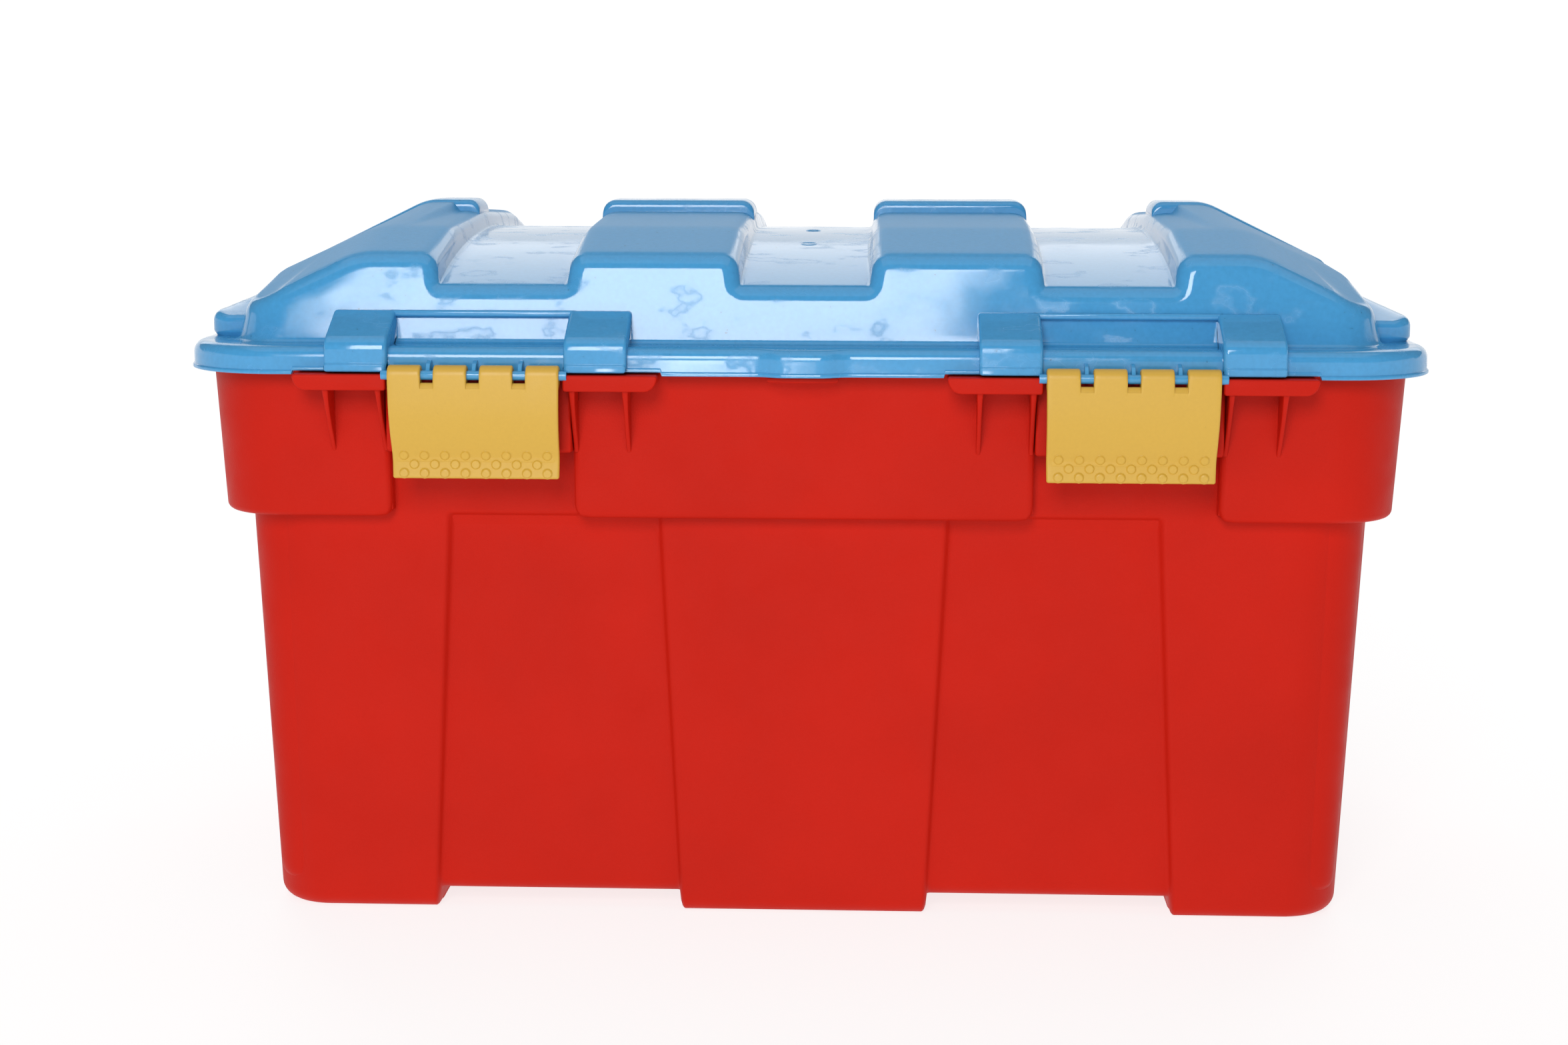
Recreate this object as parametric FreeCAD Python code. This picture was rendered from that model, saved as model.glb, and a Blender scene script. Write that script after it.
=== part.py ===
import FreeCAD, Part
import math
import os

# Moulded storage trunk: a tapered tub, a domed lid with raised bands, and four push-fit clips.
# Millimetres. X runs along the trunk, the front faces -Y, Z is up, and the feet stand on z = 0.

V = FreeCAD.Vector

# Lid rim, which sets the plan size
RIM_LENGTH = 618.0
RIM_DEPTH = 410.0
RIM_CORNER = 50.0
RIM_BOTTOM_Z = 280.4
RIM_HEIGHT = 16.1
RIM_ROLL = 6.5
RIM_LIP_HEIGHT = 1.8
RIM_LIP_PROUD = 0.9
LID_WALL = 3.0

# Tub: how far each level stands inside the rim, and its height
BASE_INSET = 34.0
WAIST_INSET = 25.0
COLLAR_LOW_INSET = 15.0
COLLAR_TOP_INSET = 10.0
FLANGE_INSET = 4.5
COLLAR_HEIGHT = 72.4
TUB_WALL = 3.0
FLANGE_THICK = 3.2
LID_SEAT_GAP = 0.3
TUB_CORNER = 30.0
COLLAR_CORNER = 36.0
FOOT_HEIGHT = 9.0
FOOT_ROUND = 8.0
FOOT_DIP = 5.0
COLLAR_BEVEL = 2.0

# Recessed panels of the tub walls: half widths at the bottom and at the waist
PANEL_DEPTH = 4.0
PANEL_INNER_LOW = 63.0
PANEL_INNER_TOP = 71.7
PANEL_OUTER_LOW = 188.0
PANEL_OUTER_TOP = 177.0
END_PANEL_LOW = 104.0
END_PANEL_TOP = 96.0

# Clips and the bars that they turn on
CLIP_X = 158.6
CLIP_WIDTH = 83.0
CLIP_FOOT_WIDTH = 81.2
CLIP_THICK = 2.8
CLIP_SIDE_GAP = 1.5
BAR_R = 2.3
BAR_CLEARANCE = 0.08
BAR_PROUD = 6.5
BAR_RISE = 0.6
KNUCKLE_R = 5.0
KNUCKLE_GAP = 6.3
KNUCKLE_GAP_COUNT = 3
KNUCKLE_GAP_DEPTH = 10.0
KNUCKLE_MOUTH = 3.9
WEB_THICK = 2.0
HOOK_REACH = 4.0
HOOK_THICK = 3.4
HOOK_ROOT = 2.5
SWING_GAP = 0.3
CLIP_DROP = 50.7
PLATE_BEND_DROP = 22.0
PLATE_BEND_ROUND = 55.0
PLATE_WAIST_DROP = 40.5
PLATE_WAIST_IN = 7.4
PLATE_WAIST_ROUND = 12.0
PLATE_LIP_IN = 6.4

# Latch seats, shelves and gusset ribs of the tub; ribs are placed from the shelf's inner end
SEAT_SIDE = 3.9
SEAT_PROUD = 6.0
SEAT_TOP_DROP = 3.0
SEAT_LOW_DROP = 39.0
SEAT_GAP_RISE = 8.5
SHELF_LENGTH = 46.0
SHELF_PROUD = 7.5
SHELF_RISE = 3.0
SHELF_HEIGHT = 7.8
SHELF_ROUND = 6.0
SHELF_SLANT = 2.0
RIB_OFFSETS = (4.2, 30.0)
RIB_THICK = 2.6
RIB_LENGTH = 34.1
RIB_FRONT_INSET = 1.5
RIB_BOW_PROUD = 6.0
RIB_BOW_RISE = 3.0
LEDGE_HALF = 17.0
LEDGE_PROUD = 3.0

# Lid dome: bands, recessed panels, spine and end slopes
DOME_INSET = 24.0
DOME_CORNER = 25.0
DOME_LEAN = 0.25
FASCIA_HEIGHT = 40.5
BAND_EDGE_ROUND = 9.0
CREASE_INSET = 97.0
CREASE_RISE = 11.4
CREASE_ROUND = 60.0
CREST_RISE = 3.1
SLOPE_RUN = 85.0
SLOPE_ROUND = 40.0
SLOPE_RATIO = 0.46
CHANNEL_FLOOR = 63.4
CHANNEL_WALL_LEAN = 0.17
END_BAND = 74.0
CHANNEL_EDGE_DEPTH = 15.5
CHANNEL_CREST_DEPTH = 8.5
CHANNEL_BEVEL = 2.5
SPINE_HALF = 17.0
SPINE_RISE = 7.3
SPINE_ROUND = 4.0
SPINE_CAP_INSET = 0.6
SPINE_BEND = 11.0
SPINE_FALL = 0.49
SPINE_END_GAP = 26.0
SHOULDER_IN = 25.0
SHOULDER_DROP = 0.8
SHOULDER_END = 45.0
END_BOSS_HALF = 150.0
END_BOSS_CREST_HALF = 110.0
END_BOSS_HEIGHT = 25.0
END_BOSS_SIDE = 10.0
END_BOSS_LIP = 4.5
END_BOSS_NOSE = 6.5
END_BOSS_GAP = 5.5
END_BOSS_UNDER = 3.0
END_BOSS_ROOT = 16.0
END_BOSS_ROUND = 12.0

# Latch posts and header on the lid front, and the thumb bump at the middle
POST_WIDTH = 30.5
POST_HEIGHT = 13.5
POST_PROUD = 1.0
POST_ROOT = 14.0
POST_FOOT_PROUD = 6.0
POST_FOOT_LEAN = 2.5
POST_BEND_RISE = 0.5
POST_BEND_ROUND = 8.0
HINGE_FOOT_PROUD = 5.5
HEADER_HEIGHT = 3.0
NOTCH_GAP = 1.1
BUMP_HALF = 21.0
BUMP_FLAT_HALF = 10.5
BUMP_PROUD = 5.0
BUMP_TOP_DROP = 1.0
BUMP_ROUND = 3.5

# Values that follow from the ones above
RIM_X = RIM_LENGTH / 2
RIM_Y = RIM_DEPTH / 2
RIM_TOP_Z = RIM_BOTTOM_Z + RIM_HEIGHT
TUB_TOP_Z = RIM_TOP_Z - LID_WALL - LID_SEAT_GAP
WAIST_Z = RIM_BOTTOM_Z - COLLAR_HEIGHT
BAR_Y = RIM_Y + BAR_PROUD
BAR_Z = RIM_BOTTOM_Z + BAR_RISE
SHELF_TOP_Z = RIM_BOTTOM_Z + SHELF_RISE
SHELF_LOW_Z = SHELF_TOP_Z - SHELF_HEIGHT
RIB_FOOT_Z = SHELF_LOW_Z - RIB_LENGTH
SEAT_HALF = CLIP_WIDTH / 2 + SEAT_SIDE
POST_INNER = CLIP_WIDTH / 2 + CLIP_SIDE_GAP
POST_OUTER = POST_INNER + POST_WIDTH
SHELF_OUTER = POST_INNER + SHELF_LENGTH
SEAT_FACE_Y = RIM_Y - COLLAR_TOP_INSET + SEAT_PROUD
SEAT_LOW_R = math.hypot(SEAT_LOW_DROP, BAR_Y - SEAT_FACE_Y)
BAND_EDGE_Z = RIM_TOP_Z + FASCIA_HEIGHT
CREASE_Y = RIM_Y - CREASE_INSET
CREASE_Z = BAND_EDGE_Z + CREASE_RISE
CREST_Z = CREASE_Z + CREST_RISE
SLOPE_START = RIM_X - SLOPE_RUN
CHANNEL_OFFSET = SLOPE_START - END_BAND
CHANNEL_XS = (-CHANNEL_OFFSET, 0.0, CHANNEL_OFFSET)
CHANNEL_EDGE_Z = BAND_EDGE_Z - CHANNEL_EDGE_DEPTH
CHANNEL_CREST_Z = CREST_Z - CHANNEL_CREST_DEPTH
BAND_X = CHANNEL_OFFSET / 2
SPINE_TOP_Z = CREST_Z + SPINE_RISE
SPINE_CAP_HALF = (CHANNEL_OFFSET - CHANNEL_FLOOR) / 2 - SPINE_CAP_INSET
SPINE_START_X = CHANNEL_OFFSET + CHANNEL_FLOOR / 2 + SPINE_CAP_INSET
SPINE_END_X = RIM_X - SPINE_END_GAP
SPINE_BEND_X = SLOPE_START - SPINE_BEND
SHOULDER_INNER_X = SLOPE_START - SHOULDER_IN
SHOULDER_OUTER_X = SLOPE_START + SHOULDER_END
POST_TOP_Z = RIM_TOP_Z + POST_HEIGHT
FAR = 500.0
NEAR = 0.01
ROLL_STEPS = 3


def corner_face(centre_x, centre_y, low, high, turn):
    """Quarter of a cone that rounds one corner, between two (radius, z) levels, turned about its axis."""
    line = Part.LineSegment(V(low[0], 0, low[1]), V(high[0], 0, high[1])).toShape()
    face = line.revolve(V(0, 0, 0), V(0, 0, 1), 90)
    face.rotate(V(0, 0, 0), V(0, 0, 1), turn)
    face.translate(V(centre_x, centre_y, 0))
    return face


def tapered_block(corner, levels):
    """Solid with round corners through (inset from the rim, z) levels; corner is the lowest one's radius."""
    first = levels[0][0]
    centre_x = RIM_X - first - corner
    centre_y = RIM_Y - first - corner
    turns = ((1, 1), (-1, 1), (-1, -1), (1, -1))
    faces = []
    for low, high in zip(levels, levels[1:]):
        ends = [(corner + first - inset, z) for inset, z in (low, high)]
        rings = [flat_sides(centre_x, centre_y, r, z) for r, z in ends]
        for low_side, high_side in zip(*rings):
            quad = low_side + high_side[::-1]
            faces.append(Part.Face(Part.makePolygon(quad + quad[:1])))
        for i, (sx, sy) in enumerate(turns):
            faces.append(corner_face(sx * centre_x, sy * centre_y, ends[0], ends[1], 90 * i))
    for level in (levels[0][1], levels[-1][1]):
        edges = [e for f in faces for e in f.Edges if e.BoundBox.ZLength < NEAR]
        edges = [e for e in edges if abs(e.BoundBox.ZMin - level) < NEAR]
        faces.append(Part.Face(Part.Wire(Part.__sortEdges__(edges))))
    shell = Part.makeShell(faces)
    shell.sewShape()
    solid = Part.Solid(shell)
    return solid if solid.Volume > 0 else solid.reversed()


def flat_sides(centre_x, centre_y, r, z):
    """Ends of the four straight sides of a rectangle with corner radius r at height z."""
    x, y = centre_x + r, centre_y + r
    return [[V(x, -centre_y, z), V(x, centre_y, z)], [V(centre_x, y, z), V(-centre_x, y, z)],
            [V(-x, centre_y, z), V(-x, -centre_y, z)], [V(-centre_x, -y, z), V(centre_x, -y, z)]]


def roll_levels(inset, z, radius, way):
    """Levels of a rounded edge in short steps, upwards (1) or downwards (-1) from where the wall ends."""
    levels = []
    for k in range(ROLL_STEPS + 1):
        angle = math.pi / 2 * k / ROLL_STEPS
        levels.append((inset + radius * (1 - math.cos(angle)), z + way * radius * math.sin(angle)))
    return levels


def box(x0, x1, y0, y1, z0, z1):
    """Axis-aligned box between two corners."""
    return Part.makeBox(x1 - x0, y1 - y0, z1 - z0, V(x0, y0, z0))


def prism(points, direction):
    """Solid made by moving a flat polygon along a direction."""
    wire = Part.makePolygon([V(*p) for p in points] + [V(*points[0])])
    return Part.Face(wire).extrude(V(*direction))


def ruled_block(low, high):
    """Solid with flat faces between two level rectangles, each (x0, x1, y0, y1, z)."""
    rings = []
    for x0, x1, y0, y1, z in (low, high):
        rings.append([V(x0, y0, z), V(x1, y0, z), V(x1, y1, z), V(x0, y1, z)])
    quads = [rings[0], rings[1]]
    for i in range(4):
        j = (i + 1) % 4
        quads.append([rings[0][i], rings[0][j], rings[1][j], rings[1][i]])
    faces = [Part.Face(Part.makePolygon(quad + quad[:1])) for quad in quads]
    return Part.Solid(Part.Shell(faces))


def union(shapes):
    """One solid from shapes that overlap, joined one after another."""
    whole = shapes[0]
    for shape in shapes[1:]:
        whole = whole.fuse(shape)
    return whole


def swept(profile, path):
    """Solid of a profile wire moved along a path without turning."""
    shell = Part.BRepOffsetAPI.MakePipeShell(path)
    shell.setTrihedronMode(V(0, 0, 0), V(1, 0, 0))
    shell.add(profile)
    shell.build()
    shell.makeSolid()
    return shell.shape()


def rounded_path(points, radii):
    """Wire through points, with an arc of the given radius at each inner point."""
    edges = []
    start = V(*points[0])
    for i in range(1, len(points) - 1):
        corner = V(*points[i])
        back = (V(*points[i - 1]) - corner).normalize()
        ahead = (V(*points[i + 1]) - corner).normalize()
        half = back.getAngle(ahead) / 2
        reach = radii[i - 1] / math.tan(half)
        inward = (back + ahead).normalize()
        first = corner + back * reach
        last = corner + ahead * reach
        middle = corner + inward * (radii[i - 1] / math.sin(half) - radii[i - 1])
        edges.append(Part.LineSegment(start, first).toShape())
        edges.append(Part.Arc(first, middle, last).toShape())
        start = last
    edges.append(Part.LineSegment(start, V(*points[-1])).toShape())
    return Part.Wire(edges)


def mirror_x(shape):
    return shape.mirror(V(0, 0, 0), V(1, 0, 0))


def mirror_y(shape):
    return shape.mirror(V(0, 0, 0), V(0, 1, 0))


def on_four_sides(shape):
    """A shape and its copies mirrored to the other end, the back and both."""
    pair = [shape, mirror_x(shape)]
    return pair + [mirror_y(s) for s in pair]


def wall_inset(z):
    """How far the lower wall's plane stands inside the rim at height z."""
    return BASE_INSET - (BASE_INSET - WAIST_INSET) * z / WAIST_Z


def wall_y(z):
    """Distance of the lower wall from the middle plane at height z, along Y."""
    return RIM_Y - wall_inset(z)


def wall_x(z):
    """Distance of the lower end wall from the middle plane at height z, along X."""
    return RIM_X - wall_inset(z)


def collar_y(z):
    """Distance of the collar face from the middle plane at height z, along Y."""
    share = (z - WAIST_Z) / (TUB_TOP_Z - WAIST_Z)
    return RIM_Y - COLLAR_LOW_INSET + (COLLAR_LOW_INSET - COLLAR_TOP_INSET) * share


def front_panel_cut(grow):
    """Cutter of one recessed front panel; grow widens it to leave the wall on the inside."""
    z0 = 0.0 if grow == 0 else FOOT_HEIGHT
    z1 = WAIST_Z + grow
    levels = []
    for z, inner, outer in ((z0, PANEL_INNER_LOW, PANEL_OUTER_LOW), (z1, PANEL_INNER_TOP, PANEL_OUTER_TOP)):
        levels.append((inner - grow, outer + grow, -FAR, -wall_y(z) + PANEL_DEPTH + grow, z))
    return ruled_block(*levels)


def end_panel_cut(grow):
    """Cutter of the recessed panel at one end."""
    z0 = 0.0 if grow == 0 else FOOT_HEIGHT
    z1 = WAIST_Z + grow
    levels = []
    for z, half in ((z0, END_PANEL_LOW), (z1, END_PANEL_TOP)):
        levels.append((wall_x(z) - PANEL_DEPTH - grow, FAR, -half - grow, half + grow, z))
    return ruled_block(*levels)


def latch_gap_cut(grow):
    """Cutter of the gap in the collar below one latch seat, back to the lower wall's plane."""
    z0 = WAIST_Z - FOOT_HEIGHT - grow
    z1 = BAR_Z - SEAT_LOW_DROP + SEAT_GAP_RISE + grow
    half = SEAT_HALF + grow
    levels = [(CLIP_X - half, CLIP_X + half, -FAR, -wall_y(z) + grow, z) for z in (z0, z1)]
    return ruled_block(*levels)


def panel_cuts(grow):
    """Cutters of all recessed panels."""
    cuts = on_four_sides(front_panel_cut(grow))
    end = end_panel_cut(grow)
    return cuts + [end, mirror_x(end)]


def tub_cavity():
    """Inside of the tub, a wall thickness in from every outer face, dipping into the feet."""
    t = TUB_WALL
    floor_z = FOOT_HEIGHT + t
    lower = tapered_block(TUB_CORNER - t, ((wall_inset(FOOT_DIP) + t, FOOT_DIP),
                                           (WAIST_INSET + t, WAIST_Z + t)))
    upper = tapered_block(COLLAR_CORNER - t, ((COLLAR_LOW_INSET + t, WAIST_Z + t),
                                              (COLLAR_TOP_INSET + t, TUB_TOP_Z + t)))
    upper = upper.cut(on_four_sides(latch_gap_cut(t)))
    lower = lower.cut(panel_cuts(t))
    under_floor = box(-FAR, FAR, -FAR, FAR, 0, floor_z).cut(foot_zones(t))
    return lower.cut(under_floor).fuse(upper)


def foot_zones(inset):
    """Boxes over the plan of the feet: four corners and the middle of front and back."""
    z1 = FOOT_HEIGHT + TUB_WALL
    corner = box(PANEL_OUTER_LOW + inset, FAR, -FAR, -END_PANEL_LOW - inset, 0, z1)
    reach = RIM_Y - BASE_INSET - END_PANEL_LOW
    half = PANEL_INNER_LOW - inset
    middle = box(-half, half, -FAR, -RIM_Y + BASE_INSET + reach - inset, 0, z1)
    return on_four_sides(corner) + [middle, mirror_y(middle)]


def latch_seat():
    """Raised block that a clip hooks under, with its lower face round about the bar's axis."""
    block = box(CLIP_X - SEAT_HALF, CLIP_X + SEAT_HALF, -SEAT_FACE_Y, -wall_y(WAIST_Z) + TUB_WALL / 2,
                BAR_Z - SEAT_LOW_R, BAR_Z - SEAT_TOP_DROP)
    keep = Part.makeCylinder(SEAT_LOW_R, FAR, V(CLIP_X - FAR / 2, -BAR_Y, BAR_Z), V(1, 0, 0))
    return block.common(keep)


def shelf(side):
    """Flat shelf beside a clip; its outer end slants in and is rounded below, as seen from the front."""
    y_back = -collar_y(SHELF_LOW_Z) + TUB_WALL / 2
    y_front = -RIM_Y - SHELF_PROUD
    outline = [(POST_INNER, y_front, SHELF_LOW_Z), (SHELF_OUTER - SHELF_SLANT, y_front, SHELF_LOW_Z),
               (SHELF_OUTER, y_front, SHELF_TOP_Z), (POST_INNER, y_front, SHELF_TOP_Z)]
    line = rounded_path(outline[:3], (SHELF_ROUND,))
    rest = [V(*p) for p in outline[2:] + outline[:1]]
    edges = line.Edges + [Part.LineSegment(rest[i], rest[i + 1]).toShape() for i in range(2)]
    solid = Part.Face(Part.Wire(edges)).extrude(V(0, y_back - y_front, 0))
    if side < 0:
        solid = mirror_x(solid)
    solid.translate(V(CLIP_X, 0, 0))
    return solid


def gusset(x):
    """Thin rib under a shelf, deep at the top and fading into the collar."""
    top = SHELF_LOW_Z + SHELF_HEIGHT / 2
    front = V(0, -RIM_Y - SHELF_PROUD + RIB_FRONT_INSET, top)
    foot = V(0, -collar_y(RIB_FOOT_Z), RIB_FOOT_Z)
    middle = V(0, foot.y - RIB_BOW_PROUD, (SHELF_LOW_Z + RIB_FOOT_Z) / 2 + RIB_BOW_RISE)
    back_low = V(0, foot.y + TUB_WALL / 2, RIB_FOOT_Z)
    back_high = V(0, -collar_y(top) + TUB_WALL / 2, top)
    edges = [Part.Arc(front, middle, foot).toShape()]
    for a, b in ((foot, back_low), (back_low, back_high), (back_high, front)):
        edges.append(Part.LineSegment(a, b).toShape())
    solid = Part.Face(Part.Wire(edges)).extrude(V(RIB_THICK, 0, 0))
    solid.translate(V(x - RIB_THICK / 2, 0, 0))
    return solid


def front_fittings():
    """Shelves and gusset ribs beside one front latch."""
    pieces = []
    for side in (-1, 1):
        pieces.append(shelf(side))
        pieces += [gusset(CLIP_X + side * (POST_INNER + offset)) for offset in RIB_OFFSETS]
    return pieces


def centre_ledge():
    """Small round ledge of the tub under the lid's thumb bump."""
    radius = (LEDGE_HALF ** 2 + LEDGE_PROUD ** 2) / (2 * LEDGE_PROUD)
    z0 = RIM_BOTTOM_Z - 2 * LEDGE_PROUD
    reach = RIM_Y - LID_WALL - LID_SEAT_GAP + LEDGE_PROUD
    disc = Part.makeCylinder(radius, LEDGE_PROUD, V(0, radius - reach, z0))
    slab = box(-LEDGE_HALF, LEDGE_HALF, -reach, -collar_y(z0) + TUB_WALL / 2, z0, z0 + LEDGE_PROUD)
    return disc.common(slab)


def tub():
    """The whole tub: tapered body, collar, flange, panels, feet, seats, shelves and ribs."""
    foot = roll_levels(wall_inset(FOOT_ROUND), FOOT_ROUND, FOOT_ROUND, -1)[::-1]
    corner = TUB_CORNER + BASE_INSET - foot[0][0]
    body = tapered_block(corner, foot + [(WAIST_INSET, WAIST_Z + TUB_WALL)])
    body = body.cut(panel_cuts(0))
    under = box(-FAR, FAR, -FAR, FAR, 0, FOOT_HEIGHT).cut(foot_zones(0))
    body = body.cut(under)
    bevel = COLLAR_BEVEL
    levels = ((COLLAR_LOW_INSET + bevel, WAIST_Z), (COLLAR_LOW_INSET, WAIST_Z + bevel),
              (COLLAR_TOP_INSET, TUB_TOP_Z))
    collar = tapered_block(COLLAR_CORNER - bevel, levels)
    collar = collar.cut(on_four_sides(latch_gap_cut(0)))
    core = tapered_block(TUB_CORNER, ((WAIST_INSET, WAIST_Z), (wall_inset(TUB_TOP_Z), TUB_TOP_Z)))
    radius = RIM_CORNER - FLANGE_INSET
    flange = tapered_block(radius, ((FLANGE_INSET, TUB_TOP_Z - FLANGE_THICK), (FLANGE_INSET, TUB_TOP_Z)))
    fittings = front_fittings()
    fittings += [mirror_x(piece) for piece in fittings] + on_four_sides(latch_seat())
    shape = union([body, collar, core, flange] + fittings + [centre_ledge()])
    return shape.cut(tub_cavity())


def dome_path(drop):
    """Front-to-back line of the band tops at the middle of the trunk, lowered by drop."""
    edge_y = RIM_Y - DOME_INSET
    slope = (CREASE_Z - BAND_EDGE_Z) / (edge_y - DOME_LEAN * (BAND_EDGE_Z - RIM_TOP_Z) - CREASE_Y)
    low_z = CREASE_Z - slope * (RIM_Y - CREASE_Y) - drop
    points = [(0, -RIM_Y, low_z), (0, -CREASE_Y, CREASE_Z - drop), (0, 0, CREST_Z - drop),
              (0, CREASE_Y, CREASE_Z - drop), (0, RIM_Y, low_z)]
    return rounded_path(points, (CREASE_ROUND, CREASE_ROUND, CREASE_ROUND))


def dome_section(start):
    """Cross-section along X of the dome below its top line, with sloping ends."""
    drop = (RIM_X - SLOPE_START) * SLOPE_RATIO
    top = [(-RIM_X, 0, -drop), (-SLOPE_START, 0, 0), (SLOPE_START, 0, 0), (RIM_X, 0, -drop)]
    line = rounded_path(top, (SLOPE_ROUND, SLOPE_ROUND))
    deep = -BAND_EDGE_Z
    side = [V(RIM_X, 0, -drop), V(RIM_X, 0, deep), V(-RIM_X, 0, deep), V(-RIM_X, 0, -drop)]
    edges = line.Edges + [Part.LineSegment(side[i], side[i + 1]).toShape() for i in range(3)]
    wire = Part.Wire(Part.__sortEdges__(edges))
    wire.translate(start)
    return wire


def dome(drop, inset, edge_round):
    """Dome solid: bands swept front to back, trimmed by the leaning side walls."""
    path = dome_path(drop)
    start = path.Edges[0].Vertexes[0].Point
    bands = swept(dome_section(start), path)
    z0 = RIM_TOP_Z - LID_WALL - LID_SEAT_GAP
    z1 = CREST_Z + LID_WALL
    lean = DOME_LEAN * (z1 - z0)
    corner = DOME_CORNER - inset
    walls = tapered_block(corner, ((DOME_INSET + inset, z0), (DOME_INSET + inset + lean, z1)))
    solid = bands.common(walls)
    if edge_round:
        low = RIM_TOP_Z
        rim = [e for e in solid.Edges if e.BoundBox.ZMin > low and top_edge(e, walls, bands)]
        solid = solid.makeFillet(edge_round, rim)
    return solid


def top_edge(edge, walls, bands):
    """True for an edge where the leaning walls meet the band tops."""
    point = edge.valueAt((edge.FirstParameter + edge.LastParameter) / 2)
    vertex = Part.Vertex(point)
    on_walls = vertex.distToShape(Part.makeCompound(walls.Faces))[0] < NEAR
    on_bands = vertex.distToShape(Part.makeCompound(bands.Faces))[0] < NEAR
    return on_walls and on_bands


def channel(x, grow):
    """Cutter of one recessed arched panel; grow widens it to leave the wall on the inside."""
    half_span = RIM_Y - DOME_INSET
    rise = CHANNEL_CREST_Z - CHANNEL_EDGE_Z
    arch_r = (half_span ** 2 + rise ** 2) / (2 * rise)
    floor = CHANNEL_CREST_Z - grow
    half = CHANNEL_FLOOR / 2 + grow
    height = SPINE_TOP_Z - CHANNEL_EDGE_Z
    lean = CHANNEL_WALL_LEAN * height
    bevel = CHANNEL_BEVEL
    side = [(half - bevel, floor), (half + CHANNEL_WALL_LEAN * bevel, floor + bevel),
            (half + lean, floor + height)]
    points = [V(x - reach, 0, z) for reach, z in side[::-1]] + [V(x + reach, 0, z) for reach, z in side]
    face = Part.Face(Part.makePolygon(points + points[:1]))
    axis = V(0, 0, CHANNEL_CREST_Z - arch_r)
    sweep = math.degrees(math.asin(RIM_Y / arch_r))
    face.rotate(axis, V(1, 0, 0), -sweep)
    return face.revolve(axis, V(1, 0, 0), 2 * sweep)


def spine_height(x):
    """Top of the spine's end bars: level near the bands, then falling over the end slope."""
    return SPINE_TOP_Z - SPINE_FALL * max(0, x - SPINE_BEND_X)


def spine_caps():
    """Raised spine along the middle: a cap on each inner band and a bar over each end slope."""
    pieces = []
    for x in (-BAND_X, BAND_X):
        cap = box(x - SPINE_CAP_HALF, x + SPINE_CAP_HALF, -SPINE_HALF, SPINE_HALF, CHANNEL_CREST_Z, SPINE_TOP_Z)
        edges = [e for e in cap.Edges if e.BoundBox.ZMin > SPINE_TOP_Z - NEAR and e.BoundBox.YLength < NEAR]
        pieces.append(cap.makeFillet(SPINE_ROUND, edges))
    low = RIM_TOP_Z + END_BOSS_SIDE
    stations = [(SPINE_START_X, low)]
    stations += [(x, spine_height(x)) for x in (SPINE_START_X, SPINE_BEND_X, SPINE_END_X)]
    stations.append((SPINE_END_X, low))
    bar = prism([(x, -SPINE_HALF, z) for x, z in stations], (0, 2 * SPINE_HALF, 0))
    return pieces + [bar, mirror_x(bar)]


def shoulder():
    """Wedge of an end band: it climbs from the crease to the spine, and falls away over the end slope."""
    low = CHANNEL_EDGE_Z
    top = SPINE_TOP_Z - SHOULDER_DROP
    end = spine_height(SHOULDER_OUTER_X) - SHOULDER_DROP
    near, far, bend = SHOULDER_INNER_X, SHOULDER_OUTER_X, SPINE_BEND_X
    plan = [(near, -CREASE_Y), (SLOPE_START, -CREASE_Y), (far, -SPINE_HALF), (far, SPINE_HALF),
            (SLOPE_START, CREASE_Y), (near, CREASE_Y)]
    heights = (CREASE_Z, CREASE_Z, end, end, CREASE_Z, CREASE_Z)
    under = [V(x, y, low) for x, y in plan]
    over = [V(x, y, z) for (x, y), z in zip(plan, heights)]
    crown = [V(near, -SPINE_HALF, top), V(bend, -SPINE_HALF, top), V(bend, SPINE_HALF, top),
             V(near, SPINE_HALF, top)]
    loops = [under, crown, [over[0], over[1], crown[1], crown[0]], [over[1], over[2], crown[1]],
             [over[2], over[3], crown[2], crown[1]], [over[3], over[4], crown[2]],
             [over[4], over[5], crown[3], crown[2]],
             [under[5], over[5], crown[3], crown[0], over[0], under[0]]]
    loops += [[under[i], under[i + 1], over[i + 1], over[i]] for i in range(5)]
    shell = Part.makeShell([Part.Face(Part.makePolygon(loop + loop[:1])) for loop in loops])
    shell.sewShape()
    solid = Part.Solid(shell)
    return solid if solid.Volume > 0 else solid.reversed()


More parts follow.
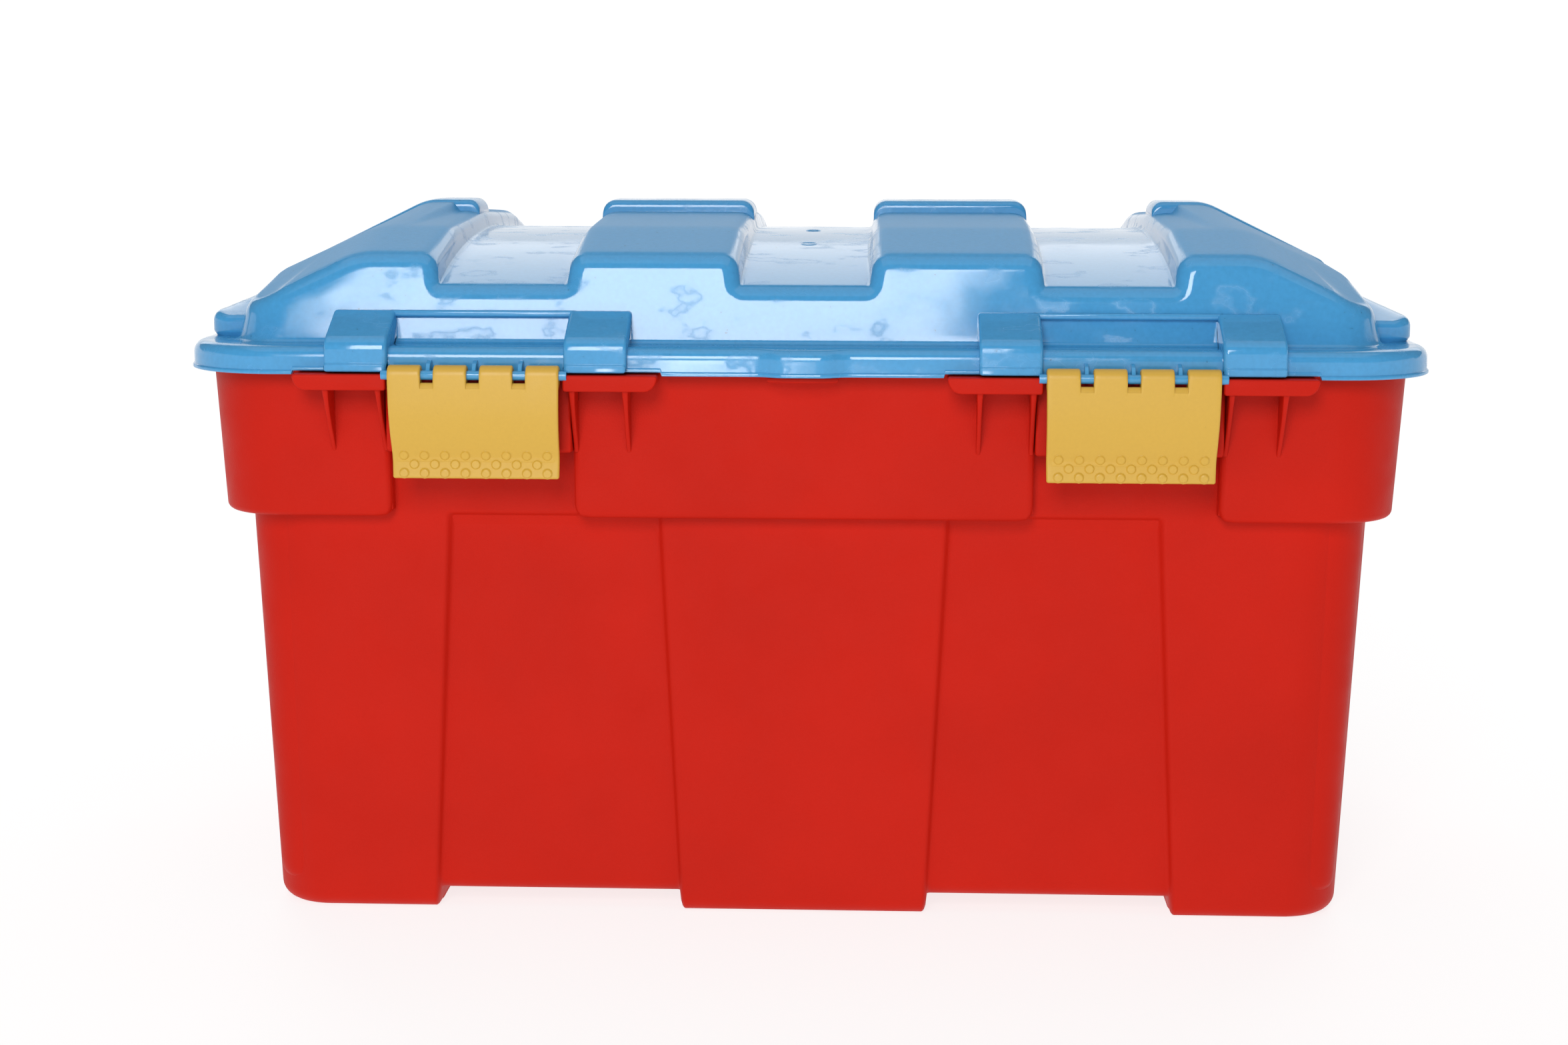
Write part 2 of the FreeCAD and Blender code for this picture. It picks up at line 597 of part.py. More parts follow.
def end_boss(grow):
    """Broad boss in the middle of an end: it carries the end slope on to a round nose over the rim."""
    wall = RIM_X - DOME_INSET
    x_in = wall - END_BOSS_ROOT
    x_out = RIM_X - END_BOSS_GAP - grow
    low = RIM_TOP_Z - LID_WALL
    lip = RIM_TOP_Z + END_BOSS_LIP
    nose = x_out - END_BOSS_NOSE
    top = RIM_TOP_Z + END_BOSS_HEIGHT - grow
    half = END_BOSS_HALF - grow
    nose_z = top - (nose - wall) * SLOPE_RATIO
    across = [(x_in, low), (x_in, top + END_BOSS_ROOT * SLOPE_RATIO), (nose, nose_z),
              (x_out, lip + END_BOSS_NOSE), (x_out, lip), (x_out - END_BOSS_UNDER, low)]
    solid = prism([(x, -half, z) for x, z in across], (0, 2 * half, 0))
    crest = END_BOSS_CREST_HALF
    side = RIM_TOP_Z + END_BOSS_SIDE - grow
    along = [(-half, low), (-half, side), (-crest, top), (-crest, FAR), (crest, FAR), (crest, top),
             (half, side), (half, low)]
    solid = solid.common(prism([(x_in, y, z) for y, z in along], (FAR, 0, 0)))
    plan = box(x_in, x_out, -half, half, low, FAR)
    corners = [e for e in plan.Edges if e.BoundBox.ZLength > NEAR and e.BoundBox.XMin > x_out - NEAR]
    return solid.common(plan.makeFillet(END_BOSS_ROUND - grow, corners))


def rim_block():
    """Rim slab with its rolled top edge and a thin lip along the bottom."""
    proud = RIM_LIP_PROUD
    roll = roll_levels(proud, RIM_TOP_Z - RIM_ROLL, RIM_ROLL, 1)
    slab = tapered_block(RIM_CORNER - proud, [(proud, RIM_BOTTOM_Z)] + roll)
    lip = tapered_block(RIM_CORNER, ((0, RIM_BOTTOM_Z), (0, RIM_BOTTOM_Z + RIM_LIP_HEIGHT)))
    return slab.fuse(lip)


def latch_post(side, foot_proud):
    """Upright beside a clip: a ramp down from the header that bends over the rim into a steep foot."""
    x = CLIP_X + min(side * POST_INNER, side * POST_OUTER)
    face = RIM_Y - DOME_INSET + POST_PROUD
    foot_z = SHELF_TOP_Z + NOTCH_GAP
    front = [(x, -face, POST_TOP_Z), (x, -RIM_Y - foot_proud + POST_FOOT_LEAN, RIM_TOP_Z + POST_BEND_RISE),
             (x, -RIM_Y - foot_proud, foot_z)]
    line = rounded_path(front, (POST_BEND_ROUND,))
    back = -RIM_Y + DOME_INSET + POST_ROOT
    rest = [V(*front[-1]), V(x, back, foot_z), V(x, back, POST_TOP_Z), V(*front[0])]
    edges = line.Edges + [Part.LineSegment(rest[i], rest[i + 1]).toShape() for i in range(3)]
    return Part.Face(Part.Wire(edges)).extrude(V(POST_OUTER - POST_INNER, 0, 0))


def latch_frame(foot_proud):
    """Two posts and the header that joins them over one clip."""
    face = RIM_Y - DOME_INSET + POST_PROUD
    header = box(CLIP_X - POST_OUTER, CLIP_X + POST_OUTER, -face, -RIM_Y + DOME_INSET + POST_ROOT,
                 POST_TOP_Z - HEADER_HEIGHT, POST_TOP_Z)
    return header.fuse([latch_post(side, foot_proud) for side in (-1, 1)])


def latch_bar():
    """Round bar under the rim between two posts, held by a web in each knuckle gap and at both ends."""
    bar = Part.makeCylinder(BAR_R, 2 * POST_INNER, V(CLIP_X - POST_INNER, -BAR_Y, BAR_Z), V(1, 0, 0))
    pieces = [web(x) for x in knuckle_gap_centres()]
    end = (POST_INNER - CLIP_WIDTH / 2) / 2
    for side in (-1, 1):
        pieces.append(web(CLIP_X + side * (POST_INNER - end), end * 2))
    return bar.fuse(pieces)


def web(x, thick=WEB_THICK):
    """Small web from the rim's wall to the bar."""
    top = BAR_Z + 2 * BAR_R
    back = -RIM_Y + RIM_LIP_PROUD + LID_WALL / 2
    points = [(x - thick / 2, back, RIM_BOTTOM_Z), (x - thick / 2, -BAR_Y, BAR_Z - BAR_R / 2),
              (x - thick / 2, -BAR_Y, BAR_Z + BAR_R / 2), (x - thick / 2, back, top)]
    return prism(points, (thick, 0, 0))


def knuckle_gap_centres():
    """Places along X of the gaps between a clip's knuckles."""
    count = KNUCKLE_GAP_COUNT
    knuckle = (CLIP_WIDTH - count * KNUCKLE_GAP) / (count + 1)
    first = CLIP_X - CLIP_WIDTH / 2 + knuckle + KNUCKLE_GAP / 2
    return [first + i * (knuckle + KNUCKLE_GAP) for i in range(count)]


def shelf_notch():
    """Cut in the lid's skirt that lets the tub's shelves pass below the posts."""
    half = SHELF_OUTER + NOTCH_GAP
    cut = box(CLIP_X - half, CLIP_X + half, -RIM_Y - BAR_PROUD, -RIM_Y + COLLAR_TOP_INSET,
              RIM_BOTTOM_Z - NOTCH_GAP, SHELF_TOP_Z + NOTCH_GAP)
    keep = box(CLIP_X - POST_INNER, CLIP_X + POST_INNER, -FAR, 0, 0, FAR)
    return cut.cut(keep)


def thumb_bump():
    """Bump at the middle of the front rim, to lift the lid by."""
    y0 = -RIM_Y + 2 * RIM_LIP_PROUD
    y1 = -RIM_Y - BUMP_PROUD
    points = [(-BUMP_HALF, y0, RIM_BOTTOM_Z), (-BUMP_FLAT_HALF, y1, RIM_BOTTOM_Z),
              (BUMP_FLAT_HALF, y1, RIM_BOTTOM_Z), (BUMP_HALF, y0, RIM_BOTTOM_Z)]
    top = RIM_TOP_Z - BUMP_TOP_DROP
    solid = prism(points, (0, 0, top - RIM_BOTTOM_Z))
    edges = [e for e in solid.Edges if e.BoundBox.ZMin > top - NEAR and e.BoundBox.YMin < y1 + NEAR]
    return solid.makeFillet(BUMP_ROUND, edges)


def lid():
    """The whole lid: rim, hollow dome, bands, spine, bosses, latch frames, bars and bump."""
    shape = dome(0, 0, BAND_EDGE_ROUND)
    extras = [shoulder(), mirror_x(shoulder())] + spine_caps()
    shape = shape.fuse(extras)
    shape = shape.cut([channel(x, 0) for x in CHANNEL_XS])
    boss = end_boss(0)
    shape = shape.fuse([rim_block(), boss, mirror_x(boss)])
    front = latch_frame(POST_FOOT_PROUD)
    back = mirror_y(latch_frame(HINGE_FOOT_PROUD))
    frames = [front, mirror_x(front), back, mirror_x(back)]
    shape = shape.fuse(frames + [thumb_bump()])
    hollow = dome(LID_WALL, LID_WALL, 0).cut([channel(x, LID_WALL) for x in CHANNEL_XS])
    skirt_inset = LID_WALL + RIM_LIP_PROUD
    skirt = tapered_block(RIM_CORNER - skirt_inset, ((skirt_inset, RIM_BOTTOM_Z - LID_WALL),
                                                     (skirt_inset, RIM_TOP_Z - LID_WALL)))
    core = end_boss(LID_WALL)
    shape = shape.cut([hollow, skirt, core, mirror_x(core)])
    notch = shelf_notch()
    shape = shape.cut([notch, mirror_x(notch)])
    return shape.fuse(on_four_sides(latch_bar())).removeSplitter()


def clip_outline():
    """Side outline of a clip in the YZ plane: plate from the knuckle down to its flared lip."""
    face = -BAR_Y - KNUCKLE_R
    stations = [(0, 0), (0, PLATE_BEND_DROP), (PLATE_WAIST_IN, PLATE_WAIST_DROP), (PLATE_LIP_IN, CLIP_DROP)]
    outer = [(0, face + back, BAR_Z - drop) for back, drop in stations]
    out_line = rounded_path(outer, (PLATE_BEND_ROUND, PLATE_WAIST_ROUND))
    in_line = out_line.copy()
    in_line.translate(V(0, CLIP_THICK, 0))
    step = V(0, CLIP_THICK, 0)
    ends = [Part.LineSegment(V(*p), V(*p) + step).toShape() for p in (outer[0], outer[-1])]
    return Part.Face(Part.Wire(Part.__sortEdges__(out_line.Edges + in_line.Edges + ends)))


def clip_hook(x0, width):
    """Hook on the clip's inner face, round about the bar's axis, under the tub's seat."""
    y, z = -BAR_Y, BAR_Z
    r_top = SEAT_LOW_R + SWING_GAP
    ring = Part.makeCylinder(r_top + HOOK_THICK, width, V(x0, y, z), V(1, 0, 0))
    ring = ring.cut(Part.makeCylinder(r_top, width, V(x0, y, z), V(1, 0, 0)))
    window = box(x0, x0 + width, y + HOOK_ROOT, -SEAT_FACE_Y + HOOK_REACH, z - FAR, z)
    return ring.common(window)


def clip():
    """One clip on the front right bar: knuckles, curved plate, hook and flared finger lip."""
    x0 = CLIP_X - CLIP_WIDTH / 2
    plate = clip_outline().extrude(V(CLIP_WIDTH, 0, 0))
    plate.translate(V(x0, 0, 0))
    axis_start = V(x0, -BAR_Y, BAR_Z)
    knuckle = Part.makeCylinder(KNUCKLE_R, CLIP_WIDTH, axis_start, V(1, 0, 0))
    bore = Part.makeCylinder(BAR_R + BAR_CLEARANCE, CLIP_WIDTH, axis_start, V(1, 0, 0))
    shape = plate.fuse([knuckle, clip_hook(x0, CLIP_WIDTH)]).cut(bore)
    mouth = box(x0, x0 + CLIP_WIDTH, -BAR_Y, -BAR_Y + 2 * KNUCKLE_R,
                BAR_Z - KNUCKLE_MOUTH / 2, BAR_Z + KNUCKLE_MOUTH / 2)
    gaps = [box(x - KNUCKLE_GAP / 2, x + KNUCKLE_GAP / 2, -BAR_Y - 2 * KNUCKLE_R, -BAR_Y + 2 * KNUCKLE_R,
                BAR_Z + KNUCKLE_R - KNUCKLE_GAP_DEPTH, BAR_Z + 2 * KNUCKLE_R) for x in knuckle_gap_centres()]
    shape = shape.cut([mouth] + gaps)
    top, foot = BAR_Z + KNUCKLE_R, BAR_Z - CLIP_DROP
    taper = prism([(CLIP_X - CLIP_WIDTH / 2, -FAR, top), (CLIP_X + CLIP_WIDTH / 2, -FAR, top),
                   (CLIP_X + CLIP_FOOT_WIDTH / 2, -FAR, foot), (CLIP_X - CLIP_FOOT_WIDTH / 2, -FAR, foot)],
                  (0, 2 * FAR, 0))
    return shape.common(taper).removeSplitter()


def main():
    os.makedirs("parts", exist_ok=True)
    front = clip()
    nodes = {
        "tub": tub(),
        "lid": lid(),
        "front_latch_right": front,
        "front_latch_left": mirror_x(front),
        "hinge_clip_right": mirror_y(front),
        "hinge_clip_left": mirror_y(mirror_x(front)),
    }
    for name, shape in nodes.items():
        shape.exportStep(f"parts/{name}.step")
        print(name, shape.isValid(), len(shape.Solids), round(shape.Volume), shape.BoundBox)


main()
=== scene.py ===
"""Storage trunk with clip latches: the shown surfaces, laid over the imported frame.

Lengths inside the shape functions are millimetres in the trunk's frame: X along the trunk, -Y to the front,
Z up, the floor at zero. A mesh is turned to metres when it is made.
"""

import bpy
import numpy as np
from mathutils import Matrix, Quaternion, Vector


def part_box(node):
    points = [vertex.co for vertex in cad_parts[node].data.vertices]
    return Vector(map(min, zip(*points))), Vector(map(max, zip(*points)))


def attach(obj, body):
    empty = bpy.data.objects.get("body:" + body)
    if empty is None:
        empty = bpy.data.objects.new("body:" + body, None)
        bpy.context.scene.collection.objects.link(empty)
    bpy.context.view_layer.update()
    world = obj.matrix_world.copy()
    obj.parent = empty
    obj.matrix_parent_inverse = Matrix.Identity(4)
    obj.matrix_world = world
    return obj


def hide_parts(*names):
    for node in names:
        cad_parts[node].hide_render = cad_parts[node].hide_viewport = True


bl_info = {
    "name": "Storage trunk",
    "version": (1, 0, 0),
    "blender": (4, 5, 0),
    "location": "View3D > Sidebar > Trunk",
    "description": "Builds the lid, tub and clips of a moulded storage trunk over its frame",
    "category": "Object",
}

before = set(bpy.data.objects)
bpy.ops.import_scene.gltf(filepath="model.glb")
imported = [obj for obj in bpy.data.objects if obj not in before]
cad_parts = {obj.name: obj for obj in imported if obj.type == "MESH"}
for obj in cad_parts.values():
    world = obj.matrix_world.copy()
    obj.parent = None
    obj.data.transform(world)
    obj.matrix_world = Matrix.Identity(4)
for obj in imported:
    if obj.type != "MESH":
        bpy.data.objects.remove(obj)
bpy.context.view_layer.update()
MM = 0.001

_, LID_HIGH = (np.array(corner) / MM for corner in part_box("lid"))
TUB_LOW, TUB_HIGH = (np.array(corner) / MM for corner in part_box("tub"))
CLIP_LOW, CLIP_HIGH = (np.array(corner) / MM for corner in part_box("front_latch_right"))

# Lid rim, seen from above as a rectangle with round corners
RIM_X = LID_HIGH[0]
RIM_Y = 205.0
RIM_CORNER = 50.0
RIM_BOTTOM = 280.4
RIM_TOP = 294.0
RIM_ROLL = 6.0
RIM_LIP = 1.8
RIM_LIP_PROUD = 0.9
RIM_NOTCH_RISE = 1.8
RIM_NOTCH = (43.0, 90.1)
LID_WALL = 3.0
BUMP_HALF = 21.0
BUMP_FLAT = 10.5

# Dome: leaning wall, bands with three channels across, slopes at the ends
DOME_INSET = 23.4
DOME_LEAN = 0.25
FOOT_FILLET = 3.0
FAN_Z = 305.0
FRONT_SLOPE = 0.2
SIDE_BALL = 0.62
BAND_EDGE = 337.0
BAND_CREASE = (108.0, 348.4)
BAND_CREST = 353.2
CREASE_BLEND = 5.2
CHANNEL_EDGE = (174.7, 321.5)
CHANNEL_CREST = 343.0
CHANNEL_PITCH = 150.0
CHANNEL_HALF = 31.7
CHANNEL_WALL_LEAN = 0.17
CHANNEL_FLOOR_ROUND = 2.0
SLOPE_START = 224.0
SLOPE_RATIO = 0.46
SLOPE_BLEND = 9.4
SHOULDER_INNER = (198.0, 208.0)
SHOULDER_END = (245.0, 275.0)
SHOULDER_EDGE = 2.5
SHOULDER_STEP = 0.8
FAN_X = 226.0

# Rows over the lid's top: how far they are from the middle line, out of the whole reach
TOP_REACH = 166.0
TOP_MARKS = np.array([160, 152, 142, 132, 123, 117, 113, 110, 107, 104, 101, 97, 91, 84, 76, 67, 58, 49, 41,
                      34, 29, 25, 21, 18, 15, 11, 7, 3, 0])

# Spine along the crest, and marks of the mould's gates in the middle channel
SPINE_TOP = LID_HIGH[2]
SPINE_HALF = 17.0
SPINE_BEND = 215.0
SPINE_FALL = 0.49
SPINE_BLEND = 6.0
SPINE_CAP = (33.0, 117.0)
SPINE_CAP_ROUND = (7.0, 7.0)
SPINE_BAR = (185.5, 283.0)
SPINE_BAR_ROUND = (6.0, 5.0)
GATE_MARKS = ((0.0, -24.0), (-0.7, -82.0))

# Bosses at the lid's ends
BOSS_OUT = 303.5
BOSS_WALL = 285.0
BOSS_TOP = 314.0
BOSS_SIDE = 303.5
BOSS_LIP = 296.5
BOSS_CREST_HALF = 110.0
BOSS_HALF = 150.0
BOSS_CORNER = 12.0
BOSS_LEAN = 0.41
BOSS_ARC_SHARE = 0.62
BOSS_FACE = 2.5

# Latch frames on the lid, and the bars that the clips turn on
CLIP_X = (CLIP_LOW[0] + CLIP_HIGH[0]) / 2
BAR_Y = -211.5
BAR_Z = 281.0
BAR_RADIUS = 2.3
POST_INNER = 43.0
POST_OUTER = 73.5
POST_TOP = 310.0
POST_FOOT = 282.2
POST_ROUND = (2.2, 1.6)
HEADER_HEIGHT = 3.0
HEADER_Y = (-170.0, -181.7, -181.9)

# Tub: insets from the lid's rim; FAR is beyond all edges that columns are measured from
FAR = 99.0
BASE_INSET = 34.0
WAIST_INSET = 25.0
WAIST_Z = 208.0
BODY_TOP = 246.0
FLOOR_MIDDLE = 150.0
FLOOR_ROUND = 8.0
COLLAR_INSET = (15.0, 10.0)
FLANGE_INSET = 4.5
TUB_TOP = TUB_HIGH[2] - 2.6
TUB_WALL = 3.0
BODY_CENTRE = (245.0, 141.0)
COLLAR_CENTRE = (258.0, 154.0)
FOOT_HEIGHT = 9.0
FOOT_SIDE = ((-2.2, -1.4, -0.7, 0.0, 0.7), (0.0, 0.04, 0.13, 0.35, 1.0))
PANEL_INNER = (63.0, 71.7)
PANEL_OUTER = (188.0, 177.0)
PANEL_END = (104.0, 96.0)
PANEL_EDGE = 2.2
GAP_HALF = 45.4
SEAT_FACE = -201.0
SEAT_ROOT = -183.0
SEAT_Z = (242.0, 278.0)
SHELF = (43.0, 89.0)
SHELF_Z = (273.4, 281.2)
SHELF_FRONT = TUB_LOW[1]
SHELF_ROOT = -188.0
GUSSETS = (47.2, 73.0)
GUSSET_FOOT = 241.5
LEDGE_HALF = 17.0
LEDGE_FRONT = -204.7
LEDGE_ROOT = -190.0
LEDGE_BOW = 3.0
LEDGE_Z = (277.4, 280.0)
FOOT_PADS = ((-63.0, 63.0), (188.0, 262.0), (-262.0, -188.0))
FOOT_PAD_Y = (104.0, 160.0)

# Clips: where each is before it is turned to the back, and their sizes
SIDES = (("front_latch_right", CLIP_X, False), ("front_latch_left", -CLIP_X, False),
         ("hinge_clip_right", -CLIP_X, True), ("hinge_clip_left", CLIP_X, True))
CLIP_HALF = (CLIP_HIGH[0] - CLIP_LOW[0]) / 2
CLIP_FRONT = CLIP_LOW[1]
CLIP_BOTTOM = CLIP_LOW[2]
CLIP_THICK = 2.8
CLIP_FOOT_HALF = 40.6
CLIP_LIP = 1.3
CLIP_BEND = ((259.0, 0.0), (240.5, 7.4), (CLIP_BOTTOM, 6.4))
KNUCKLE_RADIUS = 5.0
SLOT_WIDTH = 6.3
SLOT_FLOOR = 276.3
DOT_ROWS = ((241.7, 8), (237.4, 7), (233.1, 8))

# Meshes: the angle in degrees from which edges stay sharp, the axes of slabs by the way they run, how near
# points are joined, and the slots of the larger bodies
SHARP_ANGLE = 40.0
ALONG_X, ALONG_Y, ALONG_Z = (1, 2, 0), (0, 2, 1), (0, 1, 2)
WELD_REACH = 0.02
SLOTS = {"lid": "lid_plastic", "tub": "tub_plastic"}


# Shape helpers

def s_curve(start, end, x):
    """S-curve: 0 up to start, 1 from end on, 3t^2 - 2t^3 between."""
    t = np.clip((x - start) / (end - start), 0, 1)
    return t * t * (3 - 2 * t)


def soft_bend(x, blend):
    """Zero before 0 and x after it, joined by a parabola from -blend to blend."""
    return np.where(x > blend, x, np.clip(x + blend, 0, 2 * blend) ** 2 / (4 * blend))


def unit(vectors):
    """Vectors scaled to length 1."""
    return vectors / np.maximum(np.linalg.norm(vectors, axis=-1, keepdims=True), 1e-9)


def fillet(radius, steps):
    """Quarter arc of a radius, from 0 to 90 degrees: r(1 - cos a) and r(1 - sin a)."""
    angle = np.linspace(0, np.pi / 2, steps)
    return radius * (1 - np.cos(angle)), radius * (1 - np.sin(angle))


def spread(x, y, z):
    """Grid of points from coordinates that are broadcast to each other."""
    return np.stack(np.broadcast_arrays(x, y, z), -1)


def lifted(plan, z):
    """Points in space from plan points and their heights."""
    return np.concatenate([plan, z[..., None]], -1)


def round_outline(x, half_x, half_y, radius, turns, ends):
    """Front right quarter of a rectangle with round corners: points along the front at x, round the corner and
    along the end to its middle, and their outward directions."""
    angle = np.linspace(0, np.pi / 2, turns)
    y = np.linspace(radius - half_y, 0, ends)[1:]
    outward = np.stack([np.sin(angle), -np.cos(angle)], 1)
    corner = outward * radius + (half_x - radius, radius - half_y)
    points = np.concatenate([np.stack([x, 0 * x - half_y], 1), corner, np.stack([0 * y + half_x, y], 1)])
    normal = np.concatenate([np.tile((0.0, -1.0), (len(x), 1)), outward, np.tile((1.0, 0.0), (len(y), 1))])
    return points, normal


def quarter_plan(x, angle, y_end, inset, centre):
    """Plan points of the tub's front right quarter: columns along the front at x, round the corner about its
    centre and along the end, each row drawn in by its inset from the lid's rim."""
    front, corner, end = np.split(inset, [len(x), len(x) + len(angle)])
    turn = angle[:, None]
    radius = RIM_X - centre[0] - corner
    columns = ((x, front - RIM_Y),
               (centre[0] + np.sin(turn) * radius, -centre[1] - np.cos(turn) * radius),
               (RIM_X - end, -y_end))
    return np.concatenate([np.stack(np.broadcast_arrays(*column), -1) for column in columns])


def mirrored(front, back=None):
    """Closed ring from the grids of its right quarters, both drawn at the front: each quarter and its mirror
    images in turn. Without a back quarter, the back mirrors the front."""
    back = front if back is None else back
    back_right = (back * (1, -1, 1))[::-1]
    back_left = back * (-1, -1, 1)
    front_left = (front * (-1, 1, 1))[::-1]
    return np.concatenate([front, back_right[1:], back_left[1:], front_left[1:-1]])


def grid_faces(columns, rows, loop_columns, loop_rows):
    """Quads between neighbours on a grid whose points are numbered row by row within each column."""
    index = np.arange(columns * rows).reshape(columns, rows)
    if loop_columns:
        index = np.concatenate([index, index[:1]])
    if loop_rows:
        index = np.concatenate([index, index[:, :1]], axis=1)
    corners = (index[:-1, :-1], index[1:, :-1], index[1:, 1:], index[:-1, 1:])
    return np.stack(corners, -1).reshape(-1, 4)


def patch(grid, loop_columns=False, loop_rows=False, inside=False, capped=False):
    """Points and faces of one grid. inside turns the faces round; capped closes the first and last column."""
    columns, rows = grid.shape[:2]
    faces = grid_faces(columns, rows, loop_columns, loop_rows)
    faces = (faces[:, ::-1] if inside else faces).tolist()
    if capped:
        first = np.arange(rows)
        last = first[::-1] + (columns - 1) * rows
        faces += [first[::-1].tolist(), last[::-1].tolist()] if inside else [first.tolist(), last.tolist()]
    return grid.reshape(-1, 3), faces


def corner_arcs(points, radii, steps=6, closed=True):
    """Outline through points with an arc at each: centre on the bisector, directions turned evenly between
    the two tangents. Ends of an open outline stay sharp."""
    points = np.asarray(points, float)
    radii = np.broadcast_to(np.asarray(radii, float), len(points))
    before = unit(np.roll(points, 1, 0) - points)
    after = unit(np.roll(points, -1, 0) - points)
    half = np.arccos(np.clip((before * after).sum(1), -1, 1)) / 2
    centre = points + unit(before + after) * (radii / np.sin(half))[:, None]
    start = points + before * (radii / np.tan(half))[:, None] - centre
    end = points + after * (radii / np.tan(half))[:, None] - centre
    turn = (np.pi - 2 * half)[:, None, None]
    t = np.linspace(0, 1, steps)[None, :, None]
    arc = (np.sin((1 - t) * turn) * start[:, None] + np.sin(t * turn) * end[:, None]) / np.sin(turn)
    arc += centre[:, None]
    if closed:
        return arc.reshape(-1, 2)
    return np.concatenate([points[:1], arc[1:-1].reshape(-1, 2), points[-1:]])


def outline_normals(outline):
    """Outward mitre normals of a closed outline that runs counter-clockwise."""
    edge = unit(np.roll(outline, -1, 0) - outline)
    right = np.stack([edge[:, 1], -edge[:, 0]], 1)
    both = right + np.roll(right, 1, 0)
    return both / np.maximum((both * np.roll(right, 1, 0)).sum(1, keepdims=True), 0.3)


def slab(outline, low, high, round_low, round_high, axes):
    """Closed outline carried straight from low to high, its edges rounded: near each end the outline is drawn
    in by r(1 - sin a) while it rises by r(1 - cos a). axes says which of X, Y and Z the outline's two
    directions and the height stand for."""
    area = np.cross(outline, np.roll(outline, -1, 0)).sum()
    outline = outline if area > 0 else outline[::-1]
    low_rise, low_draw = fillet(round_low, 6)
    high_fall, high_draw = fillet(round_high, 6)
    draw = np.concatenate([low_draw, high_draw[::-1]])[:, None, None]
    level = np.concatenate([low + low_rise, high - high_fall[::-1]])[:, None]
    flat = outline - outline_normals(outline) * draw
    grid = spread(flat[..., 0], flat[..., 1], level)[..., np.argsort(axes)]
    return patch(grid, loop_rows=True, inside=axes != ALONG_Y, capped=True)


def rounded_span(half, edge, back):
    """Profile across a strip: straight sides from back to the edge, quarter arcs of the edge's radius, and
    a flat face. Gives the place across and the depth below the face."""
    way, left = fillet(edge, 6)
    side = np.append(half, half - way)
    deep = np.append(back, left)
    return np.concatenate([-side, side[::-1]]), np.concatenate([deep, deep[::-1]])


def placed(part, centre, back):
    """A part made at the front middle, moved along X to a clip, and turned half round for the back."""
    points, faces = part
    moved = points + (centre, 0, 0)
    return (moved * (-1, -1, 1) if back else moved), faces


def at_clips(label, parts, body):
    """The same piece at each of the clips."""
    for name, centre, back in SIDES:
        piece(f"{label}_{name}", [placed(part, centre, back) for part in parts], body)


def piece(name, parts, body, welded=False):
    """Mesh object of several parts, in metres, riding on a body with its slot's material."""
    starts = np.cumsum([0] + [len(points) for points, _ in parts])
    points = np.concatenate([points for points, _ in parts]) * MM
    faces = [[int(start) + v for v in face] for (_, part), start in zip(parts, starts) for face in part]
    mesh = bpy.data.meshes.new(name)
    mesh.from_pydata(points.tolist(), [], faces)
    mesh.validate()
    obj = bpy.data.objects.new(name, mesh)
    bpy.context.scene.collection.objects.link(obj)
    if welded:
        weld = obj.modifiers.new("Weld", "WELD")
        weld.merge_threshold = WELD_REACH * MM
    mesh.shade_smooth()
    mesh.set_sharp_from_angle(angle=np.radians(SHARP_ANGLE))
    slot_name = SLOTS.get(body, "clip_plastic")
    mesh.materials.append(slot_material(slot_name))
    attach(obj, body)
    return obj


# Lid

def dome_inset(z):
    """Inset of the dome's leaning wall from the rim at a height."""
    return DOME_INSET + DOME_LEAN * (z - RIM_TOP)


def band_height(y):
    """Band top along Y: a rise to the crease, a gentler one to the crest, blended by a parabola."""
    edge_y = RIM_Y - dome_inset(BAND_EDGE)
    crease_y, crease_z = BAND_CREASE
    steep = (crease_z - BAND_EDGE) / (edge_y - crease_y)
    gentle = (BAND_CREST - crease_z) / crease_y
    out = np.abs(y) - crease_y
    return crease_z - gentle * out - (steep - gentle) * soft_bend(out, CREASE_BLEND)


def channel_height(y):
    """Channel floor along Y: a circular arch from edge to edge."""
    edge_y, edge_z = CHANNEL_EDGE
    rise = CHANNEL_CREST - edge_z
    radius = (edge_y ** 2 + rise ** 2) / (2 * rise)
    return CHANNEL_CREST - radius + np.sqrt(radius ** 2 - y ** 2)


def end_drop(x):
    """Fall of the end slope below the band: none, a parabola, then a straight slope."""
    return SLOPE_RATIO * soft_bend(np.abs(x) - SLOPE_START, SLOPE_BLEND)


def spine_line(x):
    """Top of the spine along X: level to its bend, a parabola, then a straight fall."""
    return SPINE_TOP - SPINE_FALL * soft_bend(np.abs(x) - SPINE_BEND, SPINE_BLEND)


def shoulder_rise(x, y):
    """Wedge between crease and spine on an end band: it grows evenly towards the spine's height, steep towards
    the channel and fading out down the slope."""
    crease_y = BAND_CREASE[0]
    share = np.clip((crease_y - np.abs(y)) / (crease_y - SPINE_HALF), 0, 1)
    foot = SHOULDER_INNER[1] + (SHOULDER_INNER[0] - SHOULDER_INNER[1]) * share
    inner = s_curve(foot - SHOULDER_EDGE, foot + SHOULDER_EDGE, np.abs(x))
    outer = 1 - s_curve(*SHOULDER_END, np.abs(x))
    lift = np.maximum(spine_line(x) - SHOULDER_STEP - BAND_CREST + end_drop(x), 0)
    return lift * share * inner * outer


def top_height(x, y, share):
    """Lid top: the channel floor, and above it the band's share of the height between floor and band."""
    floor = channel_height(y)
    band = band_height(y) - end_drop(x) + shoulder_rise(x, y)
    return floor + (band - floor) * share


